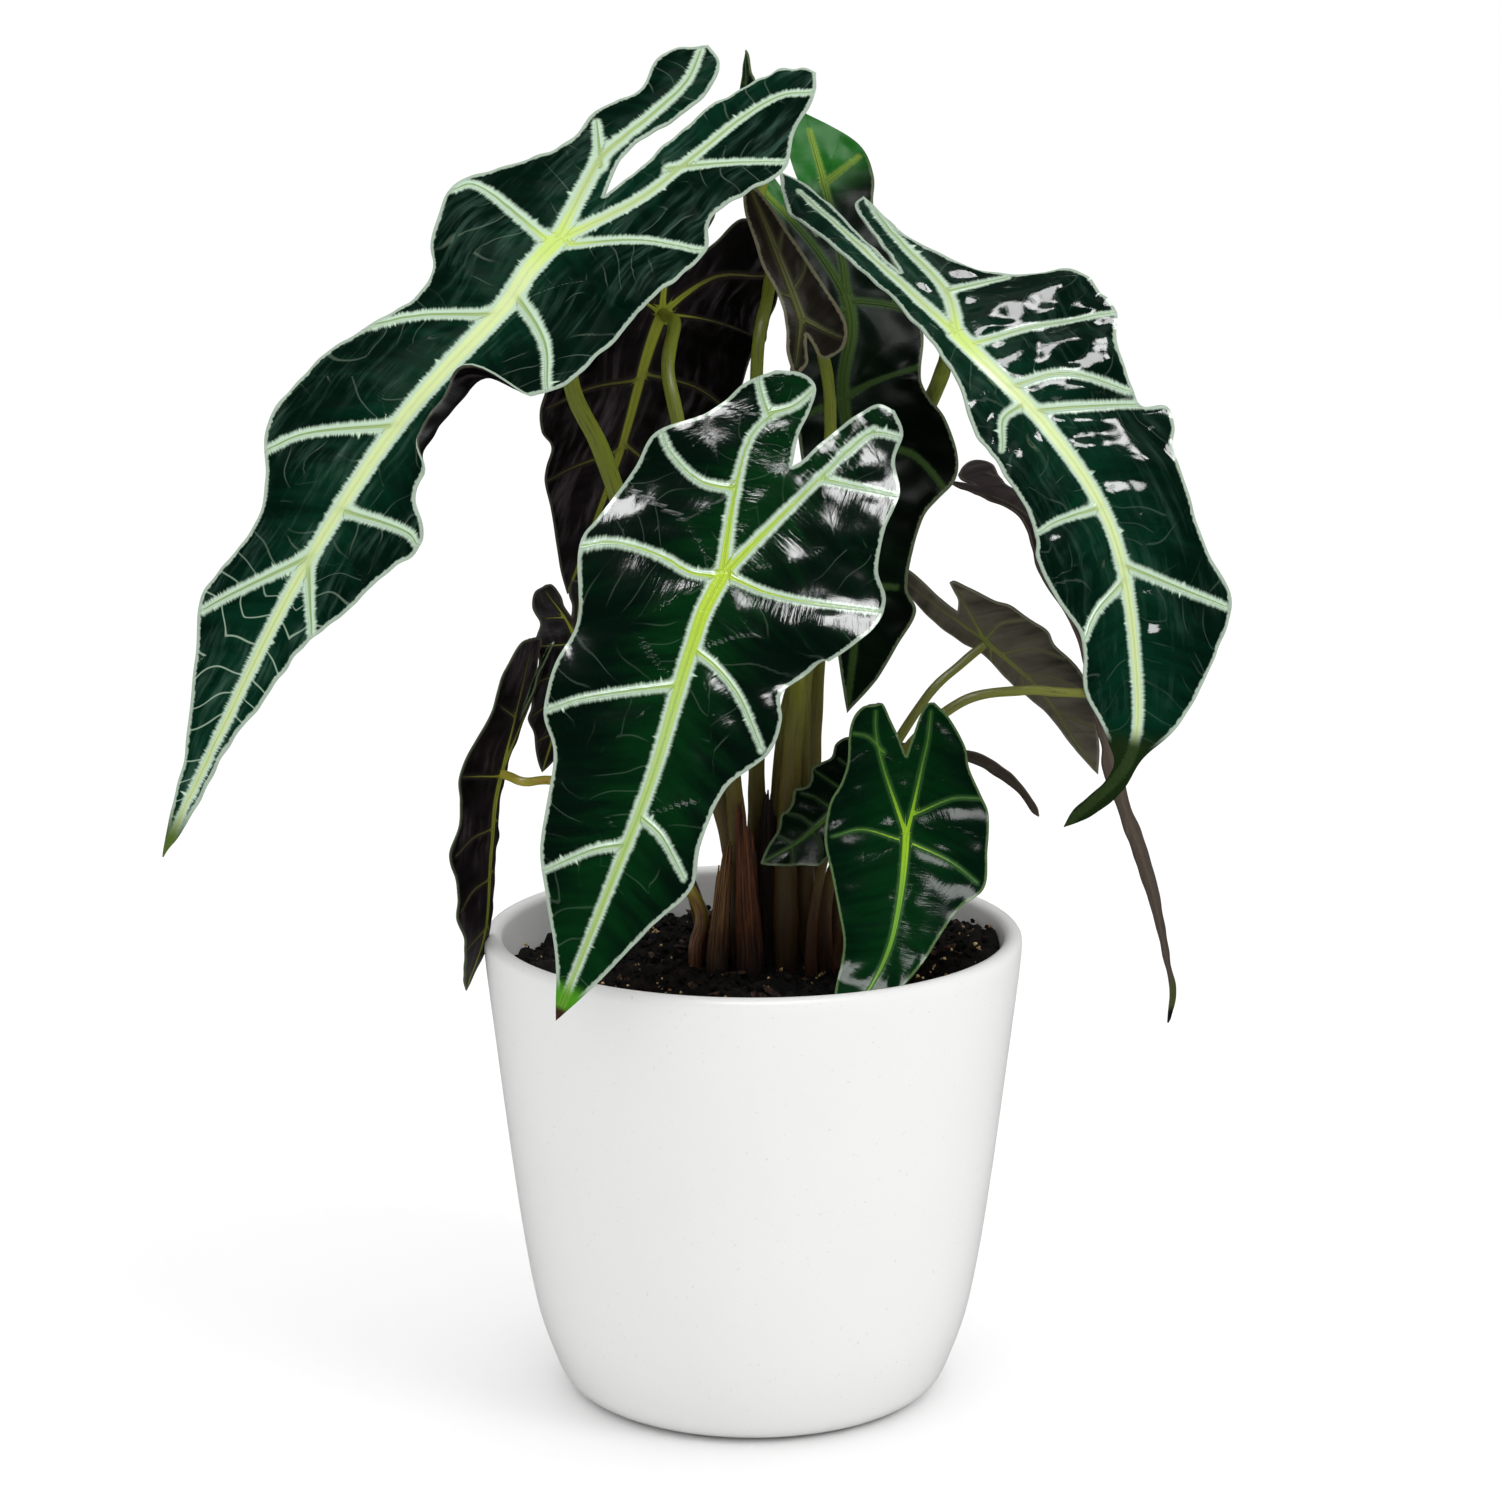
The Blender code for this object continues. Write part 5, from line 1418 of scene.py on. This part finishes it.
UNDER_LOOKS = {
    "grey": leaf_material(
        "grey_under", GREY_SHADES, gloss=0.45, tooth=0.12, margin=0.5, relief=(-0.3, 0.0, 0.25),
        veinlet=(0.4, 0.0), level=0.2,
    ),
    "edge_right": DRY,
    "sliver": DRY,
}

for number, (key, leaf) in enumerate(LEAVES.items()):
    blade = leaf_blade(key, leaf, number)
    blade.data.materials.append(UPPER_LOOKS.get(key, SMALL_UPPER))
    blade.data.materials.append(UNDER_LOOKS.get(key, UNDER))
    apply_modifier(blade, "SOLIDIFY", thickness=BLADE_THICKNESS * MM, offset=0, material_offset=1)
    smoothed(blade, 60)
    dress(blade, "root", "young_leaf" if key == "young" else "dark_leaf", "blade_" + key)


# Studio
# A white floor, a soft key light from the upper right and a pale room that is brighter overhead.
# The camera stands level with the top of the plant and looks a little down.
CAMERA_PLACE = (-0.00084, -1.0, 0.395)
CAMERA_TILT = 78.0
CAMERA_LENS = 88.85
CAMERA_SENSOR = 36
CAMERA_FAR = 100
PANEL_AIM = (0, -0.05, 0.25)
FLOOR_SIZE = 240.0

# How bright the room is: in a gloss from the walls up, and for all else from the floor to overhead
GLOSS_ROOM = (0.01, 0.06)
ROOM = (0.32, 1.54)

floor = added("studio_floor", bpy.ops.mesh.primitive_plane_add, size=FLOOR_SIZE, location=(0, 0, 0))
paper, tree, shader = new_material("white_floor", (0.93, 0.93, 0.93), 0.9, Specular_IOR_Level=0.1)
place = object_place(tree)
tone = mixed(cloud(place, 6, 2), (0.925, 0.925, 0.925), (0.935, 0.935, 0.935))
finish_shader(tree, shader, tone)
floor.data.materials.append(paper)
floor.visible_glossy = False


def soft_light(name, place, aim, size, radiance):
    """A square soft box; its power follows from its size and how bright its face is."""
    lamp = added(name, bpy.ops.object.light_add, type="AREA", location=place)
    way = np.array(aim, float) - np.array(place, float)
    lamp.rotation_euler = (np.arctan2(np.hypot(way[0], way[1]), -way[2]), 0, np.arctan2(-way[0], way[1]))
    lamp.data.shape = "SQUARE"
    lamp.data.size = size
    lamp.data.energy = radiance * pi * size * size
    return lamp


key_light = soft_light("key_light", place=(1.2, -0.9, 1.3), aim=(0, 0, 0.2), size=0.7, radiance=4.4)
key_light.visible_glossy = False

# Bright panels that only gloss shows, as a product studio sets them for leaves
for name, place, size, radiance in (
    ("panel_front", (0.0, -0.7, 1.46), 0.66, 16.0),
    ("panel_right", (0.55, -0.5, 1.55), 0.34, 20.0),
    ("panel_top", (0.0, 0.1, 1.7), 0.8, 0.2),
    ("panel_left", (-0.9, 0.1, 1.3), 0.6, 0.7),
):
    panel = soft_light(name, place, PANEL_AIM, size, radiance)
    panel.visible_diffuse = False

# The room: white to the camera, lighter overhead for what it lights, and nearly black in a gloss
world = bpy.data.worlds.new("studio")
bpy.context.scene.world = world
world.use_nodes = True
sky = world.node_tree
backdrop = sky.nodes["Background"]
way = sky.nodes.new("ShaderNodeTexCoord").outputs["Generated"]
height = node(sky, "SeparateXYZ", way).node.outputs[2]
walls = node(sky, "MapRange", height, 0.3, 0.9, *GLOSS_ROOM)
ceiling = node(sky, "MapRange", height, 0, 1, *ROOM)
rays = sky.nodes.new("ShaderNodeLightPath").outputs
light = mixed(rays["Is Glossy Ray"], ceiling, walls)
sky.links.new(mixed(rays["Is Camera Ray"], light, (1, 1, 1)), backdrop.inputs[0])

turn = (radians(CAMERA_TILT), 0, 0)
camera = added("camera", bpy.ops.object.camera_add, location=CAMERA_PLACE, rotation=turn)
camera.data.sensor_width = CAMERA_SENSOR
camera.data.lens = CAMERA_LENS
camera.data.clip_end = CAMERA_FAR
bpy.context.scene.camera = camera
bpy.context.scene.view_settings.view_transform = "Standard"
